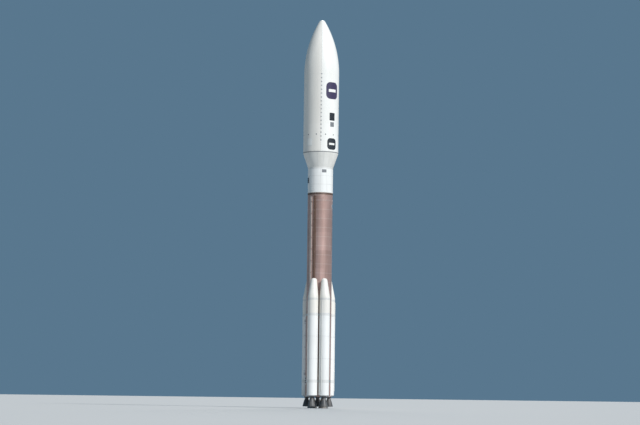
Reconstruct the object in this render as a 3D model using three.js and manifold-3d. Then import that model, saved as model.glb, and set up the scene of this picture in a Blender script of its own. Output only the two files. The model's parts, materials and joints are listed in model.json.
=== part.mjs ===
// Half-scale space launch rocket: a liquid-fuelled core with five solid boosters strapped round it,
// and an upper stage and payload bay inside a wide fairing that parts into two halves.
// Millimetres, +Z up the vehicle. The origin is on the vehicle's axis, in the plane of the hold-down
// pads under the aft skirt. -Y is the front, where two boosters stand side by side.
import * as THREE from 'three';
import { mergeVertices } from 'three/addons/utils/BufferGeometryUtils.js';
import Module from 'manifold-3d';

const wasm = await Module();
wasm.setup();

// Every size below is the full-size vehicle's, in millimetres; scale makes it the half-size model's.
const scale = 0.5;

// Heights above the exit plane of the main nozzles.
const heights = {
  nozzleExit: 0,
  boosterNozzleExit: 250,
  holdDown: 1700,
  nozzleThroat: 1900,
  boosterCaseBottom: 1900,
  gimbal: 3200,
  skirtRoof: 3600,
  aftSkirtTop: 4900,
  fuelTankTop: 13400,
  centerBodyTop: 14900,
  boosterCaseTop: 16500,
  boosterTip: 19650,
  oxidizerTankTop: 31600,
  coreTop: 32460,
  fieldJointTop: 32780,
  interstageTop: 36590,
  boattailTop: 39030,
  upperStageTop: 44600,
  adapterConeTop: 46700,
  adapterTop: 47000,
  fairingTip: 59730,
};

// Radii.
const coreRadius = 1905;
const interstageRadius = 1915;
const fairingRadius = 2700;
const upperStageRadius = 1525;
const adapterRadius = 850;
const boosterRadius = 790;
const boosterCircle = 2870;
const nozzleExitRadius = 725;
const throatRadius = 150;
const chamberRadius = 220;
const nozzleSpacing = 845;

// Ring frames stand proud of the skins at each joint between two sections.
const frameDepth = 12;
const frameHeight = 120;

// Walls, gaps, and how far a shape reaches into the body that it joins or through the one it cuts.
const skirtWall = 50;
const fairingWall = 60;
const nozzleWall = 24;
const contactGap = 0.6;
const fairingSeamHalf = 5;
const fairingBaseGap = 12;
const embedShare = 0.9;
const cutMargin = 20;

// The fairing's nose is a tangent ogive with a round tip.
const ogiveLength = 9000;
const noseTipRadius = 560;

// A thrust chamber hangs in a gimbal ring: the ring swings about X, the chamber about Y.
const gimbal = {
  ringInner: 300,
  ringOuter: 360,
  ringHeight: 100,
  pinRadius: 40,
  pinClearance: 4,
  earGap: 12,
  earThickness: 60,
  earHalfWidth: 90,
  earReach: 80,
  chamberHeadDrop: 200,
  yokeHeight: 100,
  overlap: 20,
};
const thrustPlate = { halfLength: 1450, halfWidth: 430, thickness: 140 };
const powerhead = { halfLength: 330, halfWidth: 560, bottom: 2450 };

// The chamber's straight part ends above the throat; the bell's contour bulges between its ends.
const chamberShoulder = 480;
const bellBulge = 0.65;

// Stiffening bands round each main nozzle.
const hatBands = { heights: [1250, 780, 130], depth: 22, height: 70 };

// A dished boot round each chamber's neck covers its hole in the heat shield as the chamber swings.
const boot = { sphereRadius: 1400, thickness: 20, halfAngle: THREE.MathUtils.degToRad(36) };
const heatShield = { thickness: 40, holeRadius: 600 };

// Boosters, by their azimuth in degrees from the front, positive towards +X.
const boosters = [
  { place: 'front_left', azimuth: -18 },
  { place: 'front_right', azimuth: 18 },
  { place: 'rear_right', azimuth: 144 },
  { place: 'rear_center', azimuth: 180 },
  { place: 'rear_left', azimuth: -144 },
];
const boosterNozzleCant = THREE.MathUtils.degToRad(3);

// Bands round a booster's case, by their heights: attach bands and segment joints.
const boosterBandDepth = 8;
const boosterBands = [
  { bottom: 3850, top: 4300 },
  { bottom: 7400, top: 7520 },
  { bottom: 10800, top: 10920 },
  { bottom: 13950, top: 14350 },
];

// Each booster's nose: a short straight part, a slant, and a rounded tip.
const noseCap = { straight: 250, roundRadius: 470, roundHeight: 380 };

// Each booster's nozzle hangs from a flange under the case.
const boosterNozzleShape = {
  drop: 40,
  flangeRadius: 620,
  flangeHeight: 90,
  collarRadius: 430,
  collarHeight: 40,
  throatDrop: 380,
  throatRadius: 260,
  exitRadius: 600,
  bulge: 0.35,
  wall: 50,
};

// A flat tunnel along each booster's case, at an angle from its outboard side.
const boosterTunnel = { azimuth: -50, width: 130, depth: 40, bottom: 2500, top: 16200 };

// Cable raceways, flat boxes that lie on the core's ring frames.
const raceways = [
  { name: 'raceway_front', azimuth: -45, width: 400, depth: 110, bottom: 5300, top: 32200 },
  { name: 'raceway_rear', azimuth: 118, width: 340, depth: 130, bottom: 5300, top: 32200 },
];

// The oxidizer feed line leaves the center body and runs down outside the fuel tank.
const feedLine = { azimuth: -113, radius: 190, standOff: 260, bend: 330, bottom: 4400, top: 14100 };

// Straps round the core that carry the boosters. They pass under the raceways, so they are as thin
// as a ring frame. The forward one has a lug to every booster, the aft one a pair of splayed struts.
const attachRings = [
  { name: 'booster_attach_ring_forward', bottom: 14000, top: 14300, lugWidth: 420 },
  {
    name: 'booster_attach_ring_aft',
    bottom: 3900,
    top: 4250,
    strut: { radius: 55, coreHalf: 400, caseHalf: 150 },
  },
];

// Frames round the upper stage, and the ring on the payload adapter's cone.
const upperStageFrame = { depth: 30, height: 150 };
const adapterRing = { wall: 70, skirtHeight: 250 };

const holdDownPads = { azimuths: [-110, -55, 55, 110], width: 320, height: 280, reach: 130 };

// Finishes.
const finish = (color, roughness, metalness = 0) =>
  new THREE.MeshStandardMaterial({ color, roughness, metalness });
const finishes = {
  copper: () => finish(0x9a7d74, 0.45, 0.5),
  white: () => finish(0xf0f0ec, 0.45),
  cream: () => finish(0xc9c6bd, 0.6),
  foam: () => finish(0xd9cfae, 0.9),
  metal: () => finish(0x8c8c90, 0.35, 0.8),
  darkMetal: () => finish(0x3c3a3a, 0.45, 0.7),
  blanket: () => finish(0xb8b4aa, 0.9),
  carbon: () => finish(0x2b2b2d, 0.6),
};

// How many flat sides a turned piece has.
const coreSegments = 32;
const upperStageSegments = 24;
const boosterSegments = 20;
const engineSegments = 20;
const pinSegments = 10;
const pipeSegments = 12;
const bendSteps = 4;
const bellSteps = 6;

const size = (length) => length * scale;
const station = (height) => (height - heights.holdDown) * scale;

// Geometry helpers.

function signedVolume(positions, index) {
  const corner = (i) => new THREE.Vector3().fromBufferAttribute(positions, i);
  let sixfold = 0;
  for (let i = 0; i < index.length; i += 3) {
    const [a, b, c] = [corner(index[i]), corner(index[i + 1]), corner(index[i + 2])];
    sixfold += a.dot(b.cross(c));
  }
  return sixfold / 6;
}

// Merges shared vertices, drops triangles that the merge flattened, and turns all faces outwards.
function closed(geometry) {
  const bare = geometry.clone();
  bare.deleteAttribute('normal');
  bare.deleteAttribute('uv');
  const merged = mergeVertices(bare, 1e-3);
  const old = merged.index.array;
  const index = [];
  for (let i = 0; i < old.length; i += 3) {
    const [a, b, c] = [old[i], old[i + 1], old[i + 2]];
    if (a !== b && b !== c && c !== a) {
      index.push(a, b, c);
    }
  }
  if (signedVolume(merged.attributes.position, index) < 0) {
    index.reverse();
  }
  merged.setIndex(index);
  return merged;
}

function toSolid(geometry) {
  const mesh = closed(geometry);
  return new wasm.Manifold(new wasm.Mesh({
    numProp: 3,
    vertProperties: new Float32Array(mesh.attributes.position.array),
    triVerts: new Uint32Array(mesh.index.array),
  }));
}

function toGeometry(solid) {
  const mesh = solid.getMesh();
  const geometry = new THREE.BufferGeometry();
  geometry.setAttribute('position', new THREE.BufferAttribute(mesh.vertProperties, mesh.numProp));
  geometry.setIndex(new THREE.BufferAttribute(mesh.triVerts, 1));
  return geometry;
}

// Joins a list of geometries and takes a second list away.
function carved(joined, removed = []) {
  let solid = toSolid(joined[0]);
  for (const piece of joined.slice(1)) {
    solid = solid.add(toSolid(piece));
  }
  for (const piece of removed) {
    solid = solid.subtract(toSolid(piece));
  }
  return toGeometry(solid);
}

// Turns a profile of [radius, z] points about the Z axis.
function revolve(profile, segments) {
  const points = profile.map(([radius, z]) => new THREE.Vector2(radius, z));
  return closed(new THREE.LatheGeometry(points, segments).rotateX(Math.PI / 2));
}

function box(x0, x1, y0, y1, z0, z1) {
  const geometry = new THREE.BoxGeometry(x1 - x0, y1 - y0, z1 - z0);
  return geometry.translate((x0 + x1) / 2, (y0 + y1) / 2, (z0 + z1) / 2);
}

// A cylinder along X or Y, from one coordinate to another, at height z.
function crossPin(axis, from, to, radius, z) {
  const pin = new THREE.CylinderGeometry(radius, radius, to - from, pinSegments);
  const middle = (from + to) / 2;
  if (axis === 'x') {
    return pin.rotateZ(Math.PI / 2).translate(middle, 0, z);
  }
  return pin.translate(0, middle, z);
}

// A round bar between two points.
function pipeBetween(start, end, radius) {
  const run = new THREE.Vector3().subVectors(end, start);
  const bar = new THREE.CylinderGeometry(radius, radius, run.length(), pipeSegments);
  const turn = new THREE.Quaternion().setFromUnitVectors(new THREE.Vector3(0, 1, 0), run.clone().normalize());
  return bar.applyQuaternion(turn).translate(
    (start.x + end.x) / 2, (start.y + end.y) / 2, (start.z + end.z) / 2,
  );
}

// A round pipe along points in the XZ plane, closed at both ends.
function pipeAlong(points, radius) {
  const positions = [];
  const index = [];
  const heading = (from, to) => new THREE.Vector3().subVectors(to, from).normalize();
  const last = points.length - 1;
  points.forEach((point, i) => {
    const along = new THREE.Vector3();
    if (i > 0) {
      along.add(heading(points[i - 1], point));
    }
    if (i < last) {
      along.add(heading(point, points[i + 1]));
    }
    along.normalize();
    for (let k = 0; k < pipeSegments; k += 1) {
      const angle = (2 * Math.PI * k) / pipeSegments;
      const out = radius * Math.cos(angle);
      positions.push(point.x + along.z * out, radius * Math.sin(angle), point.z - along.x * out);
    }
  });
  const ends = positions.length / 3;
  for (const { x, z } of [points[0], points[last]]) {
    positions.push(x, 0, z);
  }
  for (let k = 0; k < pipeSegments; k += 1) {
    const next = (k + 1) % pipeSegments;
    for (let i = 0; i < last; i += 1) {
      const [near, far] = [i * pipeSegments, (i + 1) * pipeSegments];
      index.push(near + k, near + next, far + k, near + next, far + next, far + k);
    }
    index.push(ends, next, k, ends + 1, last * pipeSegments + k, last * pipeSegments + next);
  }
  const geometry = new THREE.BufferGeometry();
  geometry.setAttribute('position', new THREE.Float32BufferAttribute(positions, 3));
  geometry.setIndex(index);
  return geometry;
}

// A skin between two heights with a ring frame at each end, in model millimetres.
function framedSection(bottom, top, radius, segments, depth = frameDepth) {
  const z0 = station(bottom) + size(contactGap) / 2;
  const z1 = station(top) - size(contactGap) / 2;
  const skin = size(radius);
  const rim = size(radius + depth);
  const band = size(frameHeight);
  return revolve([
    [0, z0], [rim, z0], [rim, z0 + band], [skin, z0 + band],
    [skin, z1 - band], [rim, z1 - band], [rim, z1], [0, z1],
  ], segments);
}

const group = new THREE.Group();

function addMesh(name, geometry, material, parent = group) {
  const mesh = new THREE.Mesh(geometry, material);
  mesh.name = name;
  parent.add(mesh);
  return mesh;
}

// A group whose +X points outwards at an azimuth, at a radius from the vehicle's axis.
function outwardGroup(azimuth, radius = 0) {
  const angle = THREE.MathUtils.degToRad(azimuth);
  const holder = new THREE.Group();
  holder.position.set(size(radius) * Math.sin(angle), -size(radius) * Math.cos(angle), 0);
  holder.rotation.z = angle - Math.PI / 2;
  group.add(holder);
  return holder;
}

function turnedTo(azimuth, geometry) {
  return geometry.rotateZ(THREE.MathUtils.degToRad(azimuth) - Math.PI / 2);
}

// Core stage.

function aftSkirt() {
  const outer = size(coreRadius);
  const inner = size(coreRadius - skirtWall);
  const top = station(heights.aftSkirtTop) - size(contactGap) / 2;
  const roof = station(heights.skirtRoof);
  const rim = size(coreRadius + frameDepth);
  const band = size(frameHeight);
  const shell = revolve([
    [0, roof], [inner, roof], [inner, 0], [rim, 0], [rim, band], [outer, band],
    [outer, top - band], [rim, top - band], [rim, top], [0, top],
  ], coreSegments);
  const pads = holdDownPads.azimuths.map((azimuth) => turnedTo(azimuth, box(
    size(coreRadius - skirtWall / 2), size(coreRadius + holdDownPads.reach),
    -size(holdDownPads.width) / 2, size(holdDownPads.width) / 2,
    0, size(holdDownPads.height),
  )));
  return carved([shell, ...pads]);
}

function heatShieldPlate() {
  const plate = new THREE.CylinderGeometry(
    size(coreRadius - skirtWall - 2 * contactGap), size(coreRadius - skirtWall - 2 * contactGap),
    size(heatShield.thickness), coreSegments,
  ).rotateX(Math.PI / 2).translate(0, 0, size(heatShield.thickness) / 2);
  const holes = [-1, 1].map((side) => new THREE.CylinderGeometry(
    size(heatShield.holeRadius), size(heatShield.holeRadius),
    size(heatShield.thickness + cutMargin) * 2, engineSegments,
  ).rotateX(Math.PI / 2).translate(side * size(nozzleSpacing), 0, 0));
  return carved([plate], holes);
}

addMesh('aft_skirt', aftSkirt(), finishes.copper());
addMesh('heat_shield', heatShieldPlate(), finishes.blanket());

const coreSections = [
  { name: 'fuel_tank', bottom: heights.aftSkirtTop, top: heights.fuelTankTop },
  { name: 'center_body', bottom: heights.fuelTankTop, top: heights.centerBodyTop },
  { name: 'oxidizer_tank', bottom: heights.centerBodyTop, top: heights.oxidizerTankTop },
  { name: 'forward_skirt', bottom: heights.oxidizerTankTop, top: heights.coreTop },
];
for (const { name, bottom, top } of coreSections) {
  addMesh(name, framedSection(bottom, top, coreRadius, coreSegments), finishes.copper());
}

function raceway({ width, depth, bottom, top }) {
  const inner = size(coreRadius + frameDepth + contactGap);
  const outer = inner + size(depth);
  const slope = size(depth) * 3;
  const side = new THREE.Shape([
    new THREE.Vector2(inner, station(bottom)),
    new THREE.Vector2(outer, station(bottom) + slope),
    new THREE.Vector2(outer, station(top) - slope),
    new THREE.Vector2(inner, station(top)),
  ]);
  const across = new THREE.ExtrudeGeometry(side, { depth: size(width), bevelEnabled: false });
  return closed(across.translate(0, 0, -size(width) / 2).rotateX(Math.PI / 2));
}

// The pipe's ends bend into the core, and are cut where they meet its skin.
function feedLinePipe() {
  const run = size(coreRadius + feedLine.standOff);
  const bend = size(feedLine.bend);
  const inside = size(coreRadius * embedShare);
  const [low, high] = [station(feedLine.bottom), station(feedLine.top)];
  const path = new THREE.CurvePath();
  const point = (radius, z) => new THREE.Vector3(radius, 0, z);
  path.add(new THREE.LineCurve3(point(inside, high), point(run - bend, high)));
  path.add(new THREE.QuadraticBezierCurve3(
    point(run - bend, high), point(run, high), point(run, high - bend),
  ));
  path.add(new THREE.LineCurve3(point(run, high - bend), point(run, low + bend)));
  path.add(new THREE.QuadraticBezierCurve3(
    point(run, low + bend), point(run, low), point(run - bend, low),
  ));
  path.add(new THREE.LineCurve3(point(run - bend, low), point(inside, low)));
  const points = path.curves
    .flatMap((curve) => curve.getPoints(curve.type === 'LineCurve3' ? 1 : bendSteps))
    .filter((spot, i, all) => i === 0 || spot.distanceTo(all[i - 1]) > 1);
  const pipe = turnedTo(feedLine.azimuth, pipeAlong(points, size(feedLine.radius)));
  const core = revolve([
    [0, low - bend], [size(coreRadius + frameDepth + contactGap), low - bend],
    [size(coreRadius + frameDepth + contactGap), high + bend], [0, high + bend],
  ], coreSegments);
  return carved([pipe], [core]);
}

for (const line of raceways) {
  addMesh(line.name, raceway(line), finishes.cream(), outwardGroup(line.azimuth));
}
addMesh('feed_line', feedLinePipe(), finishes.white());

function attachRing({ bottom, top, lugWidth, strut }) {
  const z0 = station(bottom);
  const z1 = station(top);
  const plug = (radius, margin) => revolve([
    [0, z0 - margin], [size(radius), z0 - margin], [size(radius), z1 + margin], [0, z1 + margin],
  ], coreSegments);
  const carrier = () => {
    if (lugWidth) {
      return [box(
        size(coreRadius * embedShare), size(boosterCircle - boosterRadius * embedShare),
        -size(lugWidth) / 2, size(lugWidth) / 2, z0, z1,
      )];
    }
    const middle = (z0 + z1) / 2;
    return [-1, 1].map((side) => pipeBetween(
      new THREE.Vector3(size(coreRadius * embedShare), side * size(strut.coreHalf), middle),
      new THREE.Vector3(
        size(boosterCircle - boosterRadius * embedShare), side * size(strut.caseHalf), middle,
      ),
      size(strut.radius),
    ));
  };
  const links = boosters.flatMap(({ azimuth }) => carrier().map((piece) => turnedTo(azimuth, piece)));
  const clear = size(boosterRadius + boosterBandDepth + contactGap);
  const casings = boosters.map(({ azimuth }) => turnedTo(
    azimuth,
    new THREE.CylinderGeometry(clear, clear, (z1 - z0) * 2, boosterSegments)
      .rotateX(Math.PI / 2).rotateZ(Math.PI / 2).translate(size(boosterCircle), 0, (z0 + z1) / 2),
  ));
  return carved(
    [plug(coreRadius + frameDepth, 0), ...links],
    [plug(coreRadius + contactGap, size(cutMargin)), ...casings],
  );
}

for (const ring of attachRings) {
  addMesh(ring.name, attachRing(ring), finishes.metal());
}

// Main engine: two thrust chambers, each in its gimbal ring under one thrust frame.

const gimbalHeight = station(heights.gimbal);

function thrustFrame() {
  const earInner = size(gimbal.ringOuter + gimbal.earGap);
  const earOuter = earInner + size(gimbal.earThickness);
  const plateTop = station(heights.skirtRoof) - size(contactGap);
  const plateBottom = plateTop - size(thrustPlate.thickness);
  const earTop = plateBottom + size(gimbal.overlap);
  const plate = box(
    -size(thrustPlate.halfLength), size(thrustPlate.halfLength),
    -size(thrustPlate.halfWidth), size(thrustPlate.halfWidth), plateBottom, plateTop,
  );
  const block = box(
    -size(powerhead.halfLength), size(powerhead.halfLength),
    -size(powerhead.halfWidth), size(powerhead.halfWidth), station(powerhead.bottom), earTop,
  );
  const ears = [];
  const holes = [];
  for (const side of [-1, 1]) {
    const center = side * size(nozzleSpacing);
    for (const ear of [-1, 1]) {
      const near = center + ear * earInner;
      const far = center + ear * earOuter;
      ears.push(box(
        Math.min(near, far), Math.max(near, far),
        -size(gimbal.earHalfWidth), size(gimbal.earHalfWidth),
        gimbalHeight - size(gimbal.earReach), earTop,
      ));
      holes.push(crossPin(
        'x', Math.min(near, far) - size(cutMargin), Math.max(near, far) + size(cutMargin),
        size(gimbal.pinRadius + gimbal.pinClearance), gimbalHeight,
      ));
    }
  }
  return carved([plate, block, ...ears], holes);
}

function gimbalRing() {
  const inner = size(gimbal.ringInner);
  const outer = size(gimbal.ringOuter);
  const half = size(gimbal.ringHeight) / 2;
  const reach = outer + size(gimbal.earGap + gimbal.earThickness);
  const ring = revolve([
    [inner, -half], [outer, -half], [outer, half], [inner, half], [inner, -half],
  ], engineSegments);
  const embed = (outer + inner) / 2;
  const pins = ['x', 'y'].flatMap((axis) => [
    crossPin(axis, embed, reach, size(gimbal.pinRadius), 0),
    crossPin(axis, -reach, -embed, size(gimbal.pinRadius), 0),
  ]);
  return carved([ring, ...pins]);
}

// The bell's outer radius at a height, from the throat down to the exit.
const bellLength = heights.nozzleThroat - heights.nozzleExit;
function bellRadius(height) {
  const share = (heights.nozzleThroat - height) / bellLength;
  const growth = (1 + bellBulge) * share - bellBulge * share * share;
  return throatRadius + (nozzleExitRadius - throatRadius) * growth;
}

function thrustChamber() {
  const drop = (height) => size(height - heights.gimbal);
  const outside = [];
  const inside = [];
  for (let i = 0; i <= bellSteps; i += 1) {
    const height = heights.nozzleThroat - (bellLength * i) / bellSteps;
    outside.push([size(bellRadius(height)), drop(height)]);
    inside.unshift([size(bellRadius(height) - nozzleWall), drop(height)]);
  }
  for (const height of hatBands.heights) {
    const at = outside.findIndex(([, z]) => z < drop(height));
    const skin = bellRadius(height);
    const edge = skin + hatBands.depth;
    const half = hatBands.height / 2;
    outside.splice(
      at, 0, [size(skin), drop(height + half)], [size(edge), drop(height + half)],
      [size(edge), drop(height - half)], [size(skin), drop(height - half)],
    );
  }
  const headTop = -size(gimbal.chamberHeadDrop);
  const body = revolve([
    [0, headTop], [size(chamberRadius), headTop],
    [size(chamberRadius), drop(heights.nozzleThroat + chamberShoulder)],
    ...outside, ...inside, [0, drop(heights.nozzleThroat)],
  ], engineSegments);
  const earInner = size(gimbal.ringOuter + gimbal.earGap);
  const earOuter = earInner + size(gimbal.earThickness);
  const yokeBottom = headTop - size(gimbal.yokeHeight);
  const halfWidth = size(gimbal.earHalfWidth);
  const yoke = box(-halfWidth, halfWidth, -earOuter, earOuter, yokeBottom, headTop - contactGap);
  const ears = [-1, 1].map((side) => box(
    -halfWidth, halfWidth, Math.min(side * earInner, side * earOuter),
    Math.max(side * earInner, side * earOuter), yokeBottom, size(gimbal.earReach),
  ));
  const reach = earOuter + size(cutMargin);
  const hole = crossPin('y', -reach, reach, size(gimbal.pinRadius + gimbal.pinClearance), 0);
  return carved([body, yoke, ...ears], [hole]);
}

function nozzleBoot() {
  const outer = size(boot.sphereRadius);
  const inner = size(boot.sphereRadius - boot.thickness);
  const neckHeight = heights.gimbal - boot.sphereRadius;
  const neck = size(bellRadius(neckHeight) + 2 * contactGap);
  const steps = 3;
  const lower = [];
  const upper = [];
  for (let i = 0; i <= steps; i += 1) {
    const angle = (from) => from + ((boot.halfAngle - from) * i) / steps;
    const low = angle(Math.asin(neck / outer));
    const high = angle(Math.asin(neck / inner));
    lower.push([outer * Math.sin(low), -outer * Math.cos(low)]);
    upper.unshift([inner * Math.sin(high), -inner * Math.cos(high)]);
  }
  return revolve([...lower, ...upper, lower[0]], engineSegments);
}

addMesh('thrust_frame', thrustFrame(), finishes.darkMetal());
for (const [place, side] of [['left', -1], ['right', 1]]) {
  const engine = new THREE.Group();
  engine.position.set(side * size(nozzleSpacing), 0, gimbalHeight);
  group.add(engine);
  addMesh(`gimbal_ring_${place}`, gimbalRing(), finishes.metal(), engine);
  addMesh(`thrust_chamber_${place}`, thrustChamber(), finishes.metal(), engine);
  addMesh(`nozzle_boot_${place}`, nozzleBoot(), finishes.blanket(), engine);
}

// Strap-on boosters. In each one's own group +X points away from the core.

// The nose leans against the core: its inboard side stays straight while its outboard side slants in.
function boosterNose() {
  const base = station(heights.boosterCaseTop) + size(contactGap) / 2;
  const tip = station(heights.boosterTip);
  const roundRadius = size(noseCap.roundRadius);
  const roundHeight = size(noseCap.roundHeight);
  const slantBottom = base + size(noseCap.straight);
  const slantTop = tip - roundHeight;
  const profile = [[0, base], [size(boosterRadius), base], [size(boosterRadius), slantBottom]];
  const steps = 3;
  for (let i = 0; i <= steps; i += 1) {
    const angle = (Math.PI / 2) * (i / steps);
    profile.push([roundRadius * Math.cos(angle), slantTop + roundHeight * Math.sin(angle)]);
  }
  const nose = revolve(profile, boosterSegments);
  const lean = size(boosterRadius) - roundRadius;
  const positions = nose.attributes.position;
  for (let i = 0; i < positions.count; i += 1) {
    const share = THREE.MathUtils.clamp((positions.getZ(i) - slantBottom) / (slantTop - slantBottom), 0, 1);
    positions.setX(i, positions.getX(i) - lean * share);
  }
  return nose;
}

function boosterNozzle() {
  const shape = boosterNozzleShape;
  const top = station(heights.boosterCaseBottom) - size(contactGap) / 2 - size(shape.drop);
  const exit = station(heights.boosterNozzleExit);
  const throat = top - size(shape.throatDrop);
  const flangeBottom = top - size(shape.flangeHeight);
  const flare = [0, 0.3, 0.65, 1].map((share) => {
    const growth = (1 + shape.bulge) * share - shape.bulge * share * share;
    return [
      size(shape.throatRadius + (shape.exitRadius - shape.throatRadius) * growth),
      throat + (exit - throat) * share,
    ];
  });
  const inside = flare.map(([radius, z]) => [radius - size(shape.wall), z]).reverse();
  return revolve([
    [0, top], [size(shape.flangeRadius), top], [size(shape.flangeRadius), flangeBottom],
    [size(shape.collarRadius), flangeBottom - size(shape.collarHeight)],
    ...flare, ...inside, [0, throat],
  ], boosterSegments);
}

function boosterCase() {
  const low = station(heights.boosterCaseBottom) + size(contactGap) / 2;
  const high = station(heights.boosterCaseTop) - size(contactGap) / 2;
  const skin = size(boosterRadius);
  const band = size(boosterRadius + boosterBandDepth);
  const profile = [[0, low], [skin, low]];
  for (const { bottom, top } of boosterBands) {
    profile.push([skin, station(bottom)], [band, station(bottom)]);
    profile.push([band, station(top)], [skin, station(top)]);
  }
  profile.push([skin, high], [0, high]);
  const tunnel = box(
    size(boosterRadius * embedShare), size(boosterRadius + boosterTunnel.depth),
    -size(boosterTunnel.width) / 2, size(boosterTunnel.width) / 2,
    station(boosterTunnel.bottom), station(boosterTunnel.top),
  ).rotateZ(THREE.MathUtils.degToRad(boosterTunnel.azimuth));
  return carved([revolve(profile, boosterSegments), tunnel]);
}

for (const { place, azimuth } of boosters) {
  const holder = outwardGroup(azimuth, boosterCircle);
  addMesh(`booster_case_${place}`, boosterCase(), finishes.white(), holder);
  addMesh(`booster_nose_${place}`, boosterNose(), finishes.white(), holder);
  const nozzle = addMesh(`booster_nozzle_${place}`, boosterNozzle(), finishes.carbon(), holder);
  nozzle.rotation.y = -boosterNozzleCant;
}

// Between the core and the fairing.

addMesh(
  'field_joint_ring',
  framedSection(heights.coreTop, heights.fieldJointTop, coreRadius, coreSegments),
  finishes.metal(),
);
addMesh(
  'interstage',
  framedSection(heights.fieldJointTop, heights.interstageTop, interstageRadius, coreSegments),
  finishes.white(),
);

function boattail() {
  const z0 = station(heights.interstageTop) + size(contactGap) / 2;
  const z1 = station(heights.boattailTop);
  const band = size(frameHeight);
  return revolve([
    [0, z0], [size(interstageRadius + frameDepth), z0], [size(interstageRadius + frameDepth), z0 + band],
    [size(fairingRadius), z1 - band], [size(fairingRadius), z1], [0, z1],
  ], coreSegments);
}
addMesh('boattail', boattail(), finishes.cream());

// Upper stage and payload adapter, which show when the fairing parts.

function upperStage() {
  const z0 = station(heights.boattailTop) + size(contactGap);
  const z1 = station(heights.upperStageTop) - size(contactGap) / 2;
  const skin = size(upperStageRadius);
  const rim = size(upperStageRadius + upperStageFrame.depth);
  const band = size(upperStageFrame.height);
  return revolve([
    [0, z0], [rim, z0], [rim, z0 + band], [skin, z0 + band],
    [skin, z1 - band], [rim, z1 - band], [rim, z1], [0, z1],
  ], upperStageSegments);
}

function payloadAdapter() {
  const z0 = station(heights.upperStageTop) + size(contactGap) / 2;
  const coneTop = station(heights.adapterConeTop);
  const top = station(heights.adapterTop);
  const ringInner = size(adapterRadius - adapterRing.wall);
  return revolve([
    [0, z0], [size(upperStageRadius), z0], [size(upperStageRadius), z0 + size(adapterRing.skirtHeight)],
    [size(adapterRadius), coneTop], [size(adapterRadius), top], [ringInner, top],
    [ringInner, coneTop], [0, coneTop],
  ], upperStageSegments);
}

addMesh('upper_stage', upperStage(), finishes.foam());
addMesh('payload_adapter', payloadAdapter(), finishes.metal());

// Payload fairing.

function noseProfile(inset) {
  const arcRadius = (fairingRadius ** 2 + ogiveLength ** 2) / (2 * fairingRadius);
  const arcCenter = arcRadius - fairingRadius;
  const tipCenterRise = Math.sqrt((arcRadius - noseTipRadius) ** 2 - arcCenter ** 2);
  const tipCenter = heights.fairingTip - noseTipRadius;
  const shoulder = tipCenter - tipCenterRise;
  const meeting = Math.atan2(tipCenterRise, arcCenter);
  const points = [];
  const arcSteps = 7;
  const tipSteps = 3;
  for (let i = 0; i <= arcSteps; i += 1) {
    const angle = (meeting * i) / arcSteps;
    points.push([
      size((arcRadius - inset) * Math.cos(angle) - arcCenter),
      station(shoulder + (arcRadius - inset) * Math.sin(angle)),
    ]);
  }
  for (let i = 1; i <= tipSteps; i += 1) {
    const angle = meeting + ((Math.PI / 2 - meeting) * i) / tipSteps;
    points.push([
      size((noseTipRadius - inset) * Math.cos(angle)),
      station(tipCenter + (noseTipRadius - inset) * Math.sin(angle)),
    ]);
  }
  return points;
}

function fairingShell() {
  const base = station(heights.boattailTop + fairingBaseGap);
  const outer = [[size(fairingRadius), base], ...noseProfile(0)];
  const inner = [[size(fairingRadius - fairingWall), base], ...noseProfile(fairingWall)];
  return revolve([...outer, ...inner.reverse(), outer[0]], coreSegments);
}

const fairing = toSolid(fairingShell());
for (const [place, side] of [['left', -1], ['right', 1]]) {
  const near = side * size(fairingSeamHalf);
  const reach = size(fairingRadius + cutMargin);
  const half = box(
    Math.min(near, side * reach), Math.max(near, side * reach), -reach, reach,
    station(heights.boattailTop), station(heights.fairingTip + cutMargin),
  );
  addMesh(`fairing_half_${place}`, toGeometry(fairing.intersect(toSolid(half))), finishes.white());
}

export default group;
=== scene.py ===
"""Looks of the half-scale launch rocket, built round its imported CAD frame.

Metres, +Z up the vehicle, -Y the front. Each sub-assembly is a class that models its pieces with
Blender's operators, dresses them in its finishes, and hangs them on the CAD body that carries them.
Azimuths are in degrees from the front, positive towards +X. A piece is modelled at the front, on
azimuth 0, and then turned about the vehicle's axis to its place. A depth is a distance from that axis.
"""

from __future__ import annotations

import json
import logging
import math
from dataclasses import dataclass
from enum import Enum
from typing import Any, Callable, Iterable, Sequence

import bmesh
import bpy
from mathutils import Matrix, Quaternion, Vector

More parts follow.
